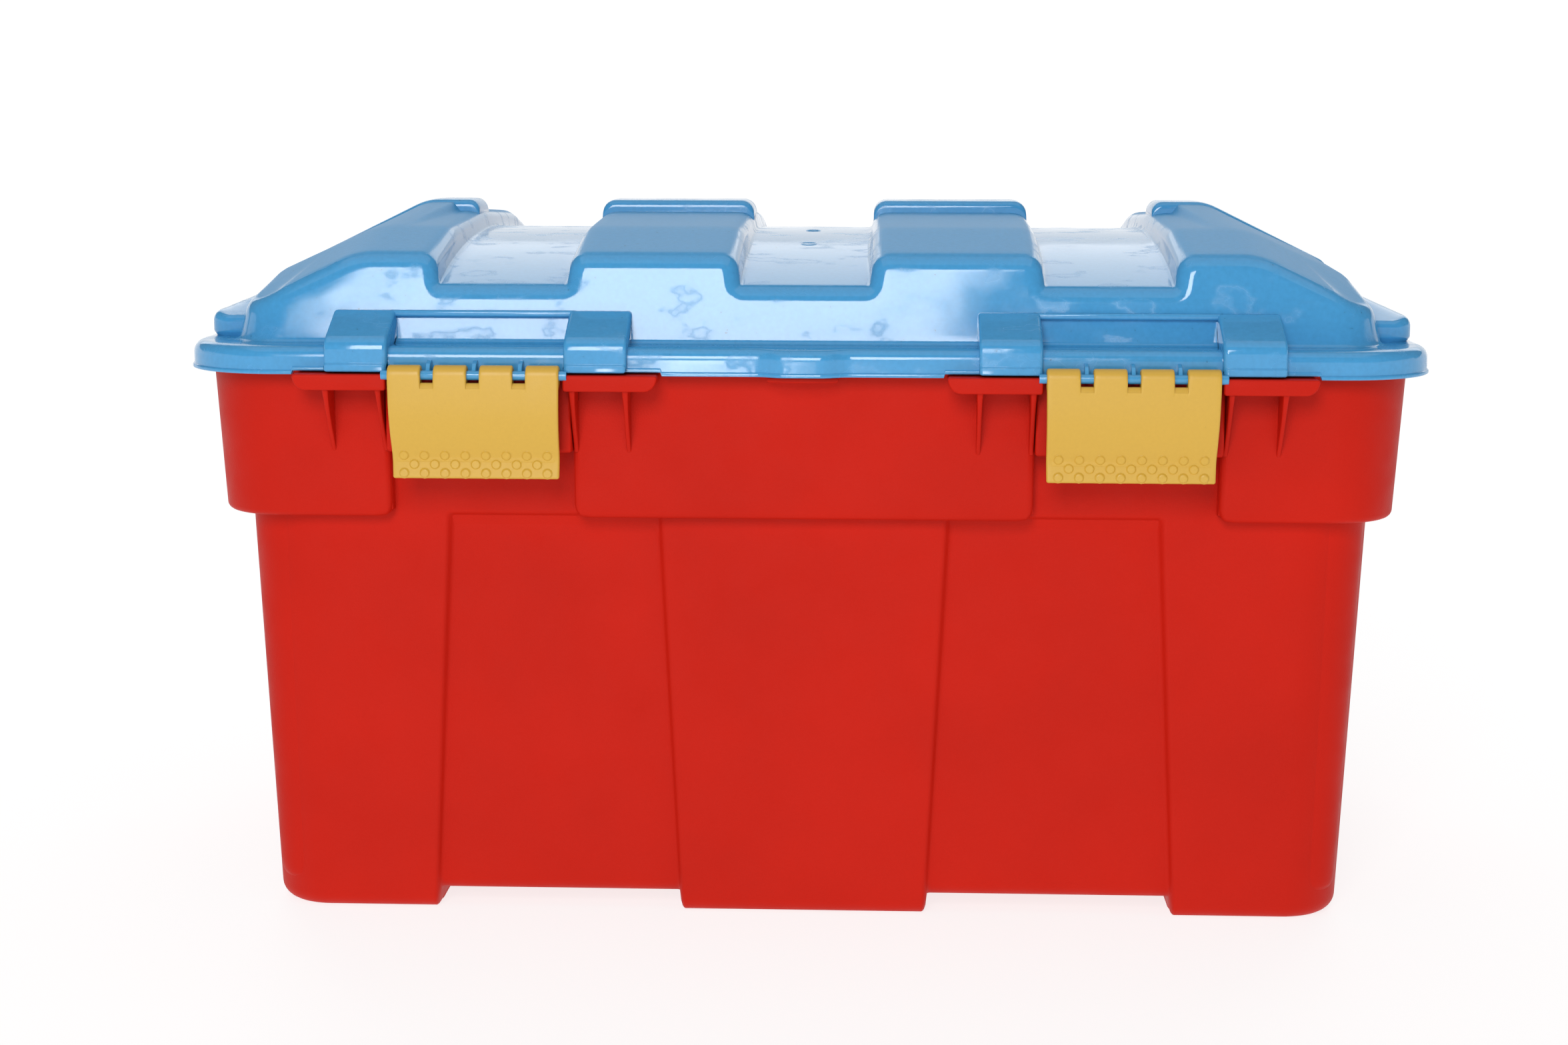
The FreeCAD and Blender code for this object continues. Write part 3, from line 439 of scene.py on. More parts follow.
def channel_side(band_round):
    """Section of a channel's side at the lid's front edge: a concave arc, a leaning wall and a convex arc.
    Gives the way from the floor's edge, the share of the height, and the lean of the normal."""
    height = BAND_EDGE - CHANNEL_EDGE[1]
    lean = np.arctan(1 / CHANNEL_WALL_LEAN)
    rise = np.linspace(0, lean, 6)
    fall = np.linspace(lean, 0, 11)
    low = CHANNEL_FLOOR_ROUND * np.tan(lean / 2)
    high = band_round * np.tan(lean / 2)
    way = np.concatenate([CHANNEL_FLOOR_ROUND * np.sin(rise) - low,
                          height / np.tan(lean) - high * np.cos(lean)
                          + band_round * (np.sin(lean) - np.sin(fall))])
    up = np.concatenate([CHANNEL_FLOOR_ROUND * (1 - np.cos(rise)),
                         height - high * np.sin(lean) + band_round * (np.cos(fall) - np.cos(lean))])
    return way, up / height, np.concatenate([rise, fall])


def lid_columns(band_round):
    """Columns of the lid's front right quarter, from the front's middle to the end's middle: rim point,
    outward direction, share of the band's height and lean of the edge's normal along the front."""
    way, share, lean = channel_side(band_round)
    bump = np.array([0, 3, 6, 8.5, 10, 11, 12.5, 14, 16, 18, 19.5, 20.6, 21.6, 23.5, 26])
    band = np.array([47, 57, 68.2, 68.8, 75, 84, 94, 102])
    floor = np.linspace(125, 175, 8)
    notch = CLIP_X + RIM_NOTCH[1]
    end_band = np.concatenate([np.linspace(194.5, 238, 40), [243, notch - 0.3, notch + 0.3, 253, 256]])
    slope = (end_drop(end_band + 0.5) - end_drop(end_band - 0.5)) * (1 - s_curve(238, 256, end_band))
    runs = ((bump, 0 * bump, 0 * bump), (CHANNEL_HALF + way, share, lean), (band, 0 * band + 1, 0 * band),
            ((CHANNEL_PITCH - CHANNEL_HALF - way)[::-1], share[::-1], -lean[::-1]), (floor, 0 * floor, 0 * floor),
            (CHANNEL_PITCH + CHANNEL_HALF + way, share, lean), (end_band, 0 * end_band + 1, -np.arctan(slope)))
    x, level, tilt = (np.concatenate(run) for run in zip(*runs))
    rim, normal = round_outline(x, RIM_X, RIM_Y, RIM_CORNER, 20, 22)
    rest = len(rim) - len(x)
    return rim, normal, np.append(level, np.ones(rest)), np.append(tilt, np.zeros(rest))


def rim_rows(rim, bump_proud, notch_rise):
    """Rim profile on every column: lip, wall, roll and flat top, as insets and heights. The lip's underside
    steps up at the notches, and the thumb bump moves wall and roll out by an S-curve of X."""
    x = np.abs(rim[:, 0])
    on_front = np.abs(np.abs(rim[:, 1]) - RIM_Y) < 1e-6
    from_clip = np.abs(x - CLIP_X)
    notch = on_front & (from_clip > RIM_NOTCH[0]) & (from_clip < RIM_NOTCH[1])
    low = RIM_BOTTOM + notch_rise * notch
    lip = np.array([(3.9, 0), (0.4, 0), (0, 0.4), (0, 1.4), (0.3, RIM_LIP), (RIM_LIP_PROUD, RIM_LIP + 0.3)])
    roll_in, roll_drop = fillet(RIM_ROLL, 9)
    upper_inset = np.concatenate([[RIM_LIP_PROUD], RIM_LIP_PROUD + roll_in, [11, 16, 20]])
    upper_z = np.concatenate([[286.5], RIM_TOP - roll_drop, [RIM_TOP] * 3])
    turn = np.linspace(0, np.pi / 2 - np.arctan(DOME_LEAN), 5)
    foot_inset = DOME_INSET + FOOT_FILLET * (np.sin(turn) - np.tan(turn[-1] / 2))
    foot_z = RIM_TOP + FOOT_FILLET * (1 - np.cos(turn))
    inset = np.concatenate([lip[:, 0], upper_inset, foot_inset])
    height = np.concatenate([lip[:, 1], upper_z, foot_z])
    z = np.where(np.arange(len(height)) < len(lip), low[:, None] + height, height)
    bump = on_front * (1 - s_curve(BUMP_FLAT - 1.5, BUMP_HALF + 1.5, x))
    carry = np.concatenate([np.ones(len(lip)), 1 - s_curve(1, 19, upper_inset), 0 * foot_inset])
    return inset[None] - bump_proud * bump[:, None] * carry[None], z


def lid_quarter(edge_round, band_round, bump_proud, notch_rise):
    """Outer surface of a quarter of the lid, column by column: rim, leaning wall, rolled top edge and top.

    The wall's sharp top edge is a curve in the wall's own plane. The edge is rolled with a ball: the wall
    stops short of the curve by R tan(half the turn) along the curve's normal, an arc leads over, and the top
    starts the same way behind it. The wall's columns fan out to their places on the edge below FAN_Z. The top
    then runs straight to the middle line, at the height of top_height."""
    rim, normal, share, tilt = lid_columns(band_round)
    edge_z = np.full(len(rim), BAND_EDGE)
    for _ in range(4):
        inset = dome_inset(edge_z)
        at = rim - normal * inset[:, None]
        edge_z = top_height(at[:, 0], at[:, 1], share)
    along, up = -np.sin(tilt)[:, None], np.cos(tilt)[:, None]
    turned = normal[:, :1] ** 2
    wall = np.pi / 2 - np.arctan(DOME_LEAN) * up
    top = (np.arctan(FRONT_SLOPE) * (1 - turned) + np.arctan(SLOPE_RATIO) * turned) * up
    ball = edge_round * (SIDE_BALL + (1 - SIDE_BALL) * up)
    reach = ball * np.tan((wall - top) / 2)
    angle = wall + (top - wall) * np.linspace(0, 1, 11)
    arc_inset = inset[:, None] + ball * (np.sin(wall) - np.sin(angle)) - reach * np.cos(wall)
    rise = ball * (np.cos(angle) - np.cos(wall)) - reach * np.sin(wall)
    arc_shift = rise * along
    arc_z = edge_z[:, None] + rise * up
    rim_inset, rim_z = rim_rows(rim, bump_proud, notch_rise)
    t = np.array([1, 2, 3]) / 3
    foot_z, head_z = rim_z[:, -1:], arc_z[:, :1]
    fan_z = np.minimum(FAN_Z, 0.4 * foot_z + 0.6 * head_z)
    wall_z = np.concatenate([foot_z + (fan_z - foot_z) * t, fan_z + (head_z - fan_z) * t[:2]], 1)
    wall_shift = arc_shift[:, :1] * np.minimum(np.arange(1, 6) / 3, 1)
    inset_rows = np.concatenate([rim_inset, dome_inset(wall_z), arc_inset], 1)[..., None]
    shift_rows = np.concatenate([0 * rim_inset, wall_shift, arc_shift], 1)[..., None]
    tangent = np.stack([-normal[:, 1], normal[:, 0]], 1)
    plan = rim[:, None] - normal[:, None] * inset_rows + tangent[:, None] * shift_rows
    start = plan[:, -1]
    middle = np.stack([np.minimum(rim[:, 0], FAN_X), 0 * share], 1)
    t = 1 - TOP_MARKS / TOP_REACH
    top_plan = start[:, None] + (middle - start)[:, None] * t[:, None]
    step = arc_z[:, -1] - top_height(start[:, 0], start[:, 1], share)
    top_z = top_height(top_plan[..., 0], top_plan[..., 1], share[:, None]) + step[:, None] * (1 - t) ** 8
    return lifted(np.concatenate([plan, top_plan], 1), np.concatenate([rim_z, wall_z, arc_z, top_z], 1))


def grid_normals(ring):
    """Unit normals of a ring of columns, from the cross product of its two directions."""
    around = np.roll(ring, -1, 0) - np.roll(ring, 1, 0)
    return unit(np.cross(around, np.gradient(ring, axis=1)))


def top_grain(ring, normals):
    """Where the lid's top is matt: by S-curves, on faces that look up, with more of them between the creases of
    an end band, above the channels' floors or beyond the last channel, and above the rim."""
    x, y, z = np.moveaxis(ring, -1, 0)
    calm = s_curve(188, 194, np.abs(x)) * (1 - s_curve(100, 125, np.abs(y)))
    level = s_curve(0.78 - 0.45 * calm, 0.9 - 0.4 * calm, normals[..., 2])
    band = np.maximum(s_curve(1, 4, z - channel_height(y)), s_curve(184, 189, np.abs(x)))
    return level * band * s_curve(305, 315, z)


def boss_top(x, y):
    """Top of an end boss: the end slope carried on and an even fall to each side, joined by a soft minimum."""
    slope = BOSS_TOP - SLOPE_RATIO * (x - BOSS_WALL)
    fall = (BOSS_TOP - BOSS_SIDE) / (BOSS_HALF - BOSS_CREST_HALF)
    return -np.logaddexp(-slope, fall * (np.abs(y) - BOSS_CREST_HALF) - BOSS_TOP)


def end_boss():
    """Boss over the rim at an end: columns round its plan, a rectangle with round corners. Each runs up an
    undercut, an upright face, an arc that turns it into the top's slope, and in along the top to the dome,
    where it dives under the slope."""
    turns, ends = 12, 24
    x_side = np.linspace(BOSS_WALL - 2.6, BOSS_OUT - BOSS_CORNER, 6)[:-1]
    plan, normal = round_outline(x_side, BOSS_OUT, BOSS_HALF, BOSS_CORNER, turns, ends)
    edge_z = boss_top(plan[:, :1], plan[:, 1:])
    back = BOSS_ARC_SHARE * (edge_z - BOSS_LIP - BOSS_FACE)
    radius = back / np.tan((np.pi / 2 - BOSS_LEAN) / 2)
    turn = np.linspace(np.pi / 2, BOSS_LEAN, 9)
    low_inset = np.tile((2.2, 0.35, 0.05, 0.0), (len(plan), 1))
    low_z = np.tile((RIM_TOP - 1, BOSS_LIP - 0.9, BOSS_LIP - 0.2, BOSS_LIP + 0.3), (len(plan), 1))
    inset = np.concatenate([low_inset, radius * (1 - np.sin(turn))], 1)
    z = np.concatenate([low_z, edge_z - back + radius * np.cos(turn)], 1)
    flat = plan[:, None] - normal[:, None] * inset[..., None]
    start = flat[:, -1]
    near = 8 - BOSS_HALF
    root_y = np.append(np.linspace(-BOSS_HALF, near, len(x_side) + turns)[:-1], np.linspace(near, 0, ends))
    root_x = BOSS_WALL - 2.5 - DOME_LEAN * (boss_top(BOSS_WALL - 6, root_y) - RIM_TOP)
    t = np.array([0.12, 0.3, 0.5, 0.65, 0.8, 0.9, 1.0])
    top = start[:, None] + (np.stack([root_x, root_y], 1) - start)[:, None] * t[:, None]
    step = z[:, -1] - boss_top(start[:, 0], start[:, 1])
    top_z = boss_top(top[..., 0], top[..., 1]) + step[:, None] * (1 - t) ** 4
    top_z = top_z - 2.4 * (1 - s_curve(0, 5, top[..., 0] - root_x[:, None]))
    half = lifted(np.concatenate([flat, top], 1), np.concatenate([z, top_z], 1))
    return np.concatenate([half, (half * (1, -1, 1))[::-1][1:]])


def spine_run(start, end, round_start, round_end):
    """Spine over one band: a section with rounded shoulders carried along X under spine_line, its ends turned
    down by a quarter circle. Its foot stays within the lid's wall, and reaches further down beside a channel."""
    start_way, start_drop = fillet(round_start, 9)
    end_drop_by, end_way = fillet(round_end, 9)
    level = np.linspace(start + round_start, end - round_end, 36)[1:-1]
    x = np.concatenate([start + start_way, level, end - end_way])
    drop = np.concatenate([start_drop, 0 * level, end_drop_by])
    across, depth = rounded_span(SPINE_HALF, 4.0, 5.0)
    grid = spread(x[:, None], across, (spine_line(x) - drop)[:, None] - depth)
    channel = CHANNEL_PITCH * np.minimum(np.round(x / CHANNEL_PITCH), 1)
    beside = np.abs(x - channel) - CHANNEL_HALF
    foot = top_height(x, SPINE_HALF, 1.0) - 1.5 - 5 * (1 - s_curve(1.5, 9, beside))
    grid[:, 0, 2] = grid[:, -1, 2] = np.minimum(foot, grid[:, 1, 2] - 0.1)
    return grid


def gate_mark(place):
    """Ring left by the mould's gate on the channel floor: a low ridge, (1 + cos) in section, round a point."""
    angle = np.linspace(0, 2 * np.pi, 41)[:-1]
    off = np.linspace(-1, 1, 9)
    radius = 4.0 + 0.55 * off
    lift = 0.32 * (1 + np.cos(np.pi * off)) / 2 - 0.04
    x = place[0] + radius * np.cos(angle)[:, None]
    y = place[1] + radius * np.sin(angle)[:, None]
    return np.stack([x, y, channel_height(y) + lift], -1)


def post_outline():
    """Side view of a latch post: flat top, straight ramp, bend, near-upright foot and its small lip."""
    points = [(-172, POST_TOP), (-182, POST_TOP), (-208.5, 297.2), (-209.2, 286.4), (-210.0, 285.6),
              (-210.3, POST_FOOT), (-196, POST_FOOT), (-172, 299)]
    return corner_arcs(points, (0.5, 1.8, 8.0, 0.4, 0.4, 0.8, 0.5, 0.5))


# Tub

def wall_inset(z):
    """Inset of the lower wall from the lid's rim, leaning evenly."""
    return BASE_INSET + (WAIST_INSET - BASE_INSET) * z / WAIST_Z


def collar_inset(z):
    """Inset of the collar from the lid's rim."""
    low, high = COLLAR_INSET
    return low + (high - low) * (z - WAIST_Z) / (TUB_TOP - WAIST_Z)


def leaning_edge(edge, z):
    """Place of a panel's leaning side edge at a height."""
    return edge[0] + (edge[1] - edge[0]) * np.clip((z - FOOT_HEIGHT) / (WAIST_Z - FOOT_HEIGHT), 0, 1)


def panel_share(x, corner, y_end, z, edge, end_edge):
    """Where the panels are: 1 on a panel and 0 beside it, by S-curves across its leaning side edges. The
    corner's columns have none."""
    inner, outer = leaning_edge(PANEL_INNER, z), leaning_edge(PANEL_OUTER, z)
    on_front = s_curve(-edge, edge, x - inner) * s_curve(-edge, edge, outer - x)
    on_end = s_curve(-end_edge, end_edge, leaning_edge(PANEL_END, z) - y_end)
    return np.concatenate([on_front, np.zeros((corner, len(z))), on_end])


def tub_body_grid(panel_depth, foot_round):
    """Lower tub: columns follow the panels' leaning edges, rows run from the underside's middle, over feet and
    their rounding, up the wall. Panels are drawn in by an S-curve across each edge, and the feet end beside
    them in a steep side with a rounded foot."""
    near = np.array([-PANEL_EDGE, -1.4, -0.7, 0, 0.7, 1.4, PANEL_EDGE])[:, None]
    f = np.linspace(0, 1, 8)[:, None]
    wall_z = np.concatenate([np.linspace(10, 200, 16), [204, 206, 207, 208, 209, 210, 214, 225, BODY_TOP]])
    arc_z, arc_in = fillet(foot_round, 8)
    rows = np.concatenate([arc_z, foot_round + wall_z])
    z_mark = np.minimum(np.append([0] * 4, rows), BODY_TOP)
    inner, outer, side = (leaning_edge(edge, z_mark) for edge in (PANEL_INNER, PANEL_OUTER, PANEL_END))
    x = np.concatenate([f * (inner - 3), inner + near, inner + 3 + f * (outer - inner - 6), outer + near,
                        outer + 3 + f * (BODY_CENTRE[0] - outer - 3)])
    angle = np.linspace(0, np.pi / 2, 16)[1:]
    y_end = np.concatenate([BODY_CENTRE[1] + f[1:] * (side + 3 - BODY_CENTRE[1]), side - near,
                            (1 - f) * (side - 3)])
    dent = panel_share(x, len(angle), y_end, z_mark, PANEL_EDGE, PANEL_EDGE)
    into = np.concatenate([np.minimum(x - inner, outer - x), np.full((len(angle), len(z_mark)), -FAR),
                           side - y_end])
    foot = FOOT_HEIGHT * np.interp(into[:, :1], *FOOT_SIDE)
    level = np.full_like(foot, FOOT_HEIGHT)
    span = np.clip((rows - foot_round) / BODY_TOP, 0, 1)
    up_z = np.where(rows > foot_round, foot + foot_round + (BODY_TOP - foot - foot_round) * span, foot + rows)
    z = np.concatenate([level, level, foot + 1.2, foot, up_z], 1)
    under = np.concatenate([[0, 30, 28.6, 27], arc_in, 0 * wall_z])
    inset = wall_inset(np.maximum(z, 0)) + under + panel_depth * dent * (1 - s_curve(206.5, 209.5, z))
    plan = quarter_plan(x, angle, y_end, inset, BODY_CENTRE)
    plan[:, 0, 0] = np.minimum(plan[:, 1, 0], FLOOR_MIDDLE)
    plan[:, 0, 1] = 0
    return mirrored(lifted(plan, z))


def collar_columns(edge_round):
    """Columns of the collar's front right quarter: X along the front, the way from a clip's gap, the angles round
    the corner and Y along the end."""
    step = np.array([0, 0.25, 0.7, 1.3, 2.0, 2.8, edge_round + 0.2])
    low, high = CLIP_X - GAP_HALF, CLIP_X + GAP_HALF
    x = np.concatenate([np.linspace(0, low - 8, 12), (low - step)[::-1], [low + 0.05],
                        np.linspace(low + 4, high - 4, 8), [high - 0.05], high + step,
                        np.linspace(high + 8, COLLAR_CENTRE[0], 6)])
    angle = np.linspace(0, np.pi / 2, 16)[1:]
    y_end = np.linspace(COLLAR_CENTRE[1], 0, 14)[1:]
    away = np.append(np.maximum(low - x, x - high), np.full(len(angle) + len(y_end), FAR))
    return x[:, None], away[:, None], angle, y_end[:, None]


def round_loss(radius, away):
    """What a rounded edge loses: R - sqrt(R^2 - (R - d)^2) at d from its end."""
    near = np.clip(radius - away, 0, radius)
    return radius - np.sqrt(radius ** 2 - near ** 2)


def collar_grid(edge_round, corner_round):
    """Collar and flange: underside, rounded lower edge, wall, and the flange's rounded rim, column by column.
    Beside each clip's gap the collar ends in a rounded edge, and its lower edge rises round a corner."""
    x, away, angle, y_end = collar_columns(edge_round)
    lost, lift = round_loss(edge_round, away), round_loss(corner_round, away)
    rise, draw = fillet(edge_round, 7)
    wall_z = np.array([218, 228, 240, 255, 270, 279, TUB_TOP - 6.2])
    z = np.concatenate([WAIST_Z + lift + np.append(0, rise), np.tile(wall_z, (len(lift), 1))], 1)
    hidden = wall_inset(z) + 1.5
    inset = collar_inset(z) + np.concatenate([[11], draw, 0 * wall_z]) + lost
    inset = np.where(away < 0, hidden, np.minimum(inset, hidden))
    inner = COLLAR_INSET[1] + TUB_WALL
    flange = np.array([(10.1, -3.9), (8.5, -3.2), (5.2, -3.2), (FLANGE_INSET, -2.6), (FLANGE_INSET, -0.6),
                       (5.1, 0), (inner - 0.6, 0), (inner, -0.6)])
    flange = np.tile(flange + (0, TUB_TOP), (len(lift), 1, 1))
    inset = np.concatenate([inset, flange[..., 0]], 1)
    z = np.concatenate([z, flange[..., 1]], 1)
    return mirrored(lifted(quarter_plan(x, angle, y_end, inset, COLLAR_CENTRE), z))


def lining_grid(edge_round, panel_depth):
    """Inside of the tub, a wall's thickness behind its outer faces, from the collar's top to the middle of the
    floor."""
    x, away, angle, y_end = collar_columns(edge_round)
    z = np.append([TUB_TOP - 0.6, 280, 265, 250, 235, 222, 213, 211.6, 211, 210.4], np.linspace(206, 24, 14))
    upper = np.where((away < 0) & (z <= TUB_TOP - 3), wall_inset(z), collar_inset(z))
    share = s_curve(210.2, 211.8, z)
    inset = TUB_WALL + wall_inset(z) * (1 - share) + upper * share
    inset = inset + panel_depth * panel_share(x, len(angle), y_end, z, 4, 5) * (1 - s_curve(203, 206, z))
    way, left = fillet(FLOOR_ROUND, 6)
    low_z = FOOT_HEIGHT + TUB_WALL + left
    low_in = inset[:, -1:] + 0.5 + way
    plan = quarter_plan(x, angle, y_end, np.concatenate([inset, low_in, low_in[:, -1:] + 20], 1), COLLAR_CENTRE)
    middle = np.minimum(plan[:, -1:], (FLOOR_MIDDLE, 0)) * (1, 0)
    plan = np.concatenate([plan, middle], 1)
    z = np.concatenate([z, low_z, [low_z[-1]] * 2])
    return mirrored(lifted(plan, np.broadcast_to(z, plan.shape[:2])))


def gusset(offset):
    """Gusset under a shelf: a bowed front edge carried from its foot on the collar to the shelf, its rounded
    section flaring just under it."""
    t = np.linspace(0, 1, 16)
    y = -192.2 - 18.8 * t - 5 * t * (1 - t)
    z = GUSSET_FOOT + (SHELF_Z[0] + 1 - GUSSET_FOOT) * t
    half = 1.1 + 0.5 * t ** 6
    across, depth = rounded_span(1.0, 0.8, 14.0)
    return spread(offset + across[:, None] * half, y + depth[:, None], z)


# Clips

def clip_face(z):
    """Outer face of a clip's plate along its height: straight, bent in towards the waist, then out to the lip."""
    (bend_z, bend), (waist_z, waist), (low_z, low) = CLIP_BEND
    corners = [(286, 0), (bend_z, bend), (waist_z, waist), (low_z - 1, low - 0.1)]
    line = corner_arcs(corners, (1, 55, 12, 1), steps=14, closed=False)
    return CLIP_FRONT + np.interp(-z, -line[:, 0], line[:, 1])


def clip_section():
    """Closed section of a clip: outer face upwards, round the knuckle, back to the plate's inner face, down it
    and round the lip. Gives the section, the slot's floor in its place, and which rows are the knuckle."""
    lip = CLIP_LIP
    turn = np.linspace(-np.pi / 2, 0, 6)[1:-1]
    face_z = np.concatenate([np.linspace(CLIP_BOTTOM + lip, 262, 24), [266, 270, 273, SLOT_FLOOR - 1.3]])
    outer = np.stack([clip_face(face_z), face_z], 1)
    lip_out = np.stack([clip_face(CLIP_BOTTOM) + lip * (1 - np.cos(turn)),
                        CLIP_BOTTOM + lip * (1 + np.sin(turn))], 1)
    angle = np.linspace(np.pi, -0.7, 22)
    arc = np.stack([BAR_Y + KNUCKLE_RADIUS * np.cos(angle), BAR_Z + KNUCKLE_RADIUS * np.sin(angle)], 1)
    inner_z = np.concatenate([[274.0, 271, 266], np.linspace(260, CLIP_BOTTOM + lip, 18)])
    inner = np.stack([clip_face(inner_z) + CLIP_THICK, inner_z], 1)
    under = np.array([(-208.6, 276.4), (-211.0, 275.6)])
    lip_in = np.stack([clip_face(CLIP_BOTTOM) + CLIP_THICK - lip * (1 - np.cos(turn[::-1])),
                       CLIP_BOTTOM + lip * (1 + np.sin(turn[::-1]))], 1)
    knuckle = np.concatenate([arc, under])
    section = np.concatenate([lip_out, outer, knuckle, inner, lip_in])
    across = np.linspace(0, 1, len(knuckle))
    floor = np.stack([CLIP_FRONT + 0.2 + (CLIP_THICK - 0.2) * across,
                      SLOT_FLOOR + 1.3 - 2.5 * np.clip(1 - across / 0.9, 0, 1) ** 2], 1)
    slotted = np.concatenate([lip_out, outer, floor, inner, lip_in])
    is_knuckle = np.zeros(len(section), bool)
    is_knuckle[len(lip_out) + len(outer):len(lip_out) + len(outer) + len(knuckle)] = True
    return section, slotted, is_knuckle


def clip_grid(edge_round):
    """Clip: its section carried along X. Both ends are rounded by drawing the section in; at a slot the
    knuckle's rows change to the slot's floor, and are drawn in the same way beside it."""
    section, slotted, is_knuckle = clip_section()
    inward = -outline_normals(section[::-1])[::-1]
    knuckle = (2 * CLIP_HALF - 3 * SLOT_WIDTH) / 4
    step, draw = fillet(edge_round, 6)
    draw = np.concatenate([draw, np.zeros(4), draw[::-1]])
    runs = []
    for start in -CLIP_HALF + (knuckle + SLOT_WIDTH) * np.arange(4):
        stop = start + knuckle
        x = np.concatenate([start + step, np.linspace(start + 3, stop - 3, 4), (stop - step)[::-1]])
        gap = stop + np.array([0.02, 2, SLOT_WIDTH - 2, SLOT_WIDTH - 0.02])
        runs += [(x, draw, np.zeros(len(x), bool)), (gap, np.zeros(4), np.ones(4, bool))]
    x, draw, slot = (np.concatenate(run)[:, None] for run in zip(*runs[:-1]))
    pull = draw * np.where(np.abs(x) > CLIP_HALF - 2, 1.0, is_knuckle)
    flat = np.where(slot[..., None], slotted, section + inward * pull[..., None])
    foot = CLIP_FOOT_HALF / CLIP_HALF
    taper = foot + (1 - foot) * np.clip((section[:, 1] - CLIP_BOTTOM) / (SLOT_FLOOR - CLIP_BOTTOM), 0, 1)
    return spread(x * taper, flat[..., 0], flat[..., 1])


def grip_dots(size, pitch, height):
    """Rows of flat raised dots on a clip's foot: each a disc whose rim falls by an S-curve of the radius, laid
    on the plate's face."""
    radius = size / 2 * np.array([0.02, 0.45, 0.68, 0.78, 0.86, 0.93, 1.0, 1.06])
    lift = height * (1 - s_curve(0.66, 1.0, radius / (size / 2))) - 0.08 * (radius > size / 2)
    angle = np.linspace(0, 2 * np.pi, 21)[:-1]
    x0 = np.concatenate([pitch * (np.arange(count) - (count - 1) / 2) for _, count in DOT_ROWS])
    z0 = np.concatenate([np.full(count, z) for z, count in DOT_ROWS])
    x = x0[:, None, None] + radius * np.cos(angle)[:, None]
    z = z0[:, None, None] + radius * np.sin(angle)[:, None]
    return np.stack([x, clip_face(z) - lift, z], -1)


# Materials

def shader(name, colour, roughness):
    """New material with a principled shader: the material, its tree, the shader and object coordinates."""
    material = bpy.data.materials.new(name)
    material.use_nodes = True
    tree = material.node_tree
    plastic = tree.nodes["Principled BSDF"]
    plastic.inputs["Base Color"].default_value = (*colour, 1)
    plastic.inputs["Roughness"].default_value = roughness
    place = tree.nodes.new("ShaderNodeTexCoord")
    return material, tree, plastic, place.outputs["Object"]


def noise(tree, place, scale, detail=4.0, stretch=(1, 1, 1)):
    """Noise of a given scale per metre, stretched along the axes."""
    mapping = tree.nodes.new("ShaderNodeMapping")
    mapping.inputs["Scale"].default_value = stretch
    tree.links.new(place, mapping.inputs["Vector"])
    texture = tree.nodes.new("ShaderNodeTexNoise")
    texture.inputs["Scale"].default_value = scale
    texture.inputs["Detail"].default_value = detail
    tree.links.new(mapping.outputs["Vector"], texture.inputs["Vector"])
    return texture.outputs["Fac"]


def ramp(tree, value, stops, socket):
    """Colour ramp through (position, colour) stops into a socket. A number as a colour is a grey."""
    node = tree.nodes.new("ShaderNodeValToRGB")
    points = node.color_ramp.elements
    for position, _ in stops[1:-1]:
        points.new(position)
    for element, (position, colour) in zip(points, stops):
        element.position = position
        element.color = (*np.broadcast_to(colour, 3), 1)
    tree.links.new(value, node.inputs["Fac"])
    tree.links.new(node.outputs["Color"], socket)


def bump(tree, value, plastic, strength, distance):
    """Bump from a height in metres, added to the bump that the shader already has."""
    node = tree.nodes.new("ShaderNodeBump")
    node.inputs["Strength"].default_value = strength
    node.inputs["Distance"].default_value = distance
    tree.links.new(value, node.inputs["Height"])
    if plastic.inputs["Normal"].is_linked:
        tree.links.new(plastic.inputs["Normal"].links[0].from_socket, node.inputs["Normal"])
    tree.links.new(node.outputs["Normal"], plastic.inputs["Normal"])
    return node


def mix(tree, factor, socket, high):
    """Mix into a shader's socket that a factor moves from the socket given back to a high value."""
    node = tree.nodes.new("ShaderNodeMix")
    node.inputs["B"].default_value = high
    tree.links.new(factor, node.inputs["Factor"])
    tree.links.new(node.outputs["Result"], socket)
    return node.inputs["A"]


def shades(colour, low, high):
    """Two shades of a colour."""
    return [tuple(min(1.0, c * k) for c in colour) for k in (low, high)]


def red_plastic(name):
    """Red moulded plastic: matt, with a fine spark-eroded grain and faint clouds of colour."""
    colour = tuple(bpy.context.scene.trunk_colours.tub)
    material, tree, plastic, place = shader(name, colour, 0.5)
    plastic.inputs["Specular IOR Level"].default_value = 0.12
    low, high = shades(colour, 0.95, 1.04)
    ramp(tree, noise(tree, place, 14, 6), [(0.3, low), (0.7, high)], plastic.inputs["Base Color"])
    ramp(tree, noise(tree, place, 60, 5), [(0.3, 0.44), (0.75, 0.6)], plastic.inputs["Roughness"])
    bump(tree, noise(tree, place, 1400, 2), plastic, 0.25, 0.0004)
    bump(tree, noise(tree, place, 9, 2), plastic, 0.1, 0.001)
    return material


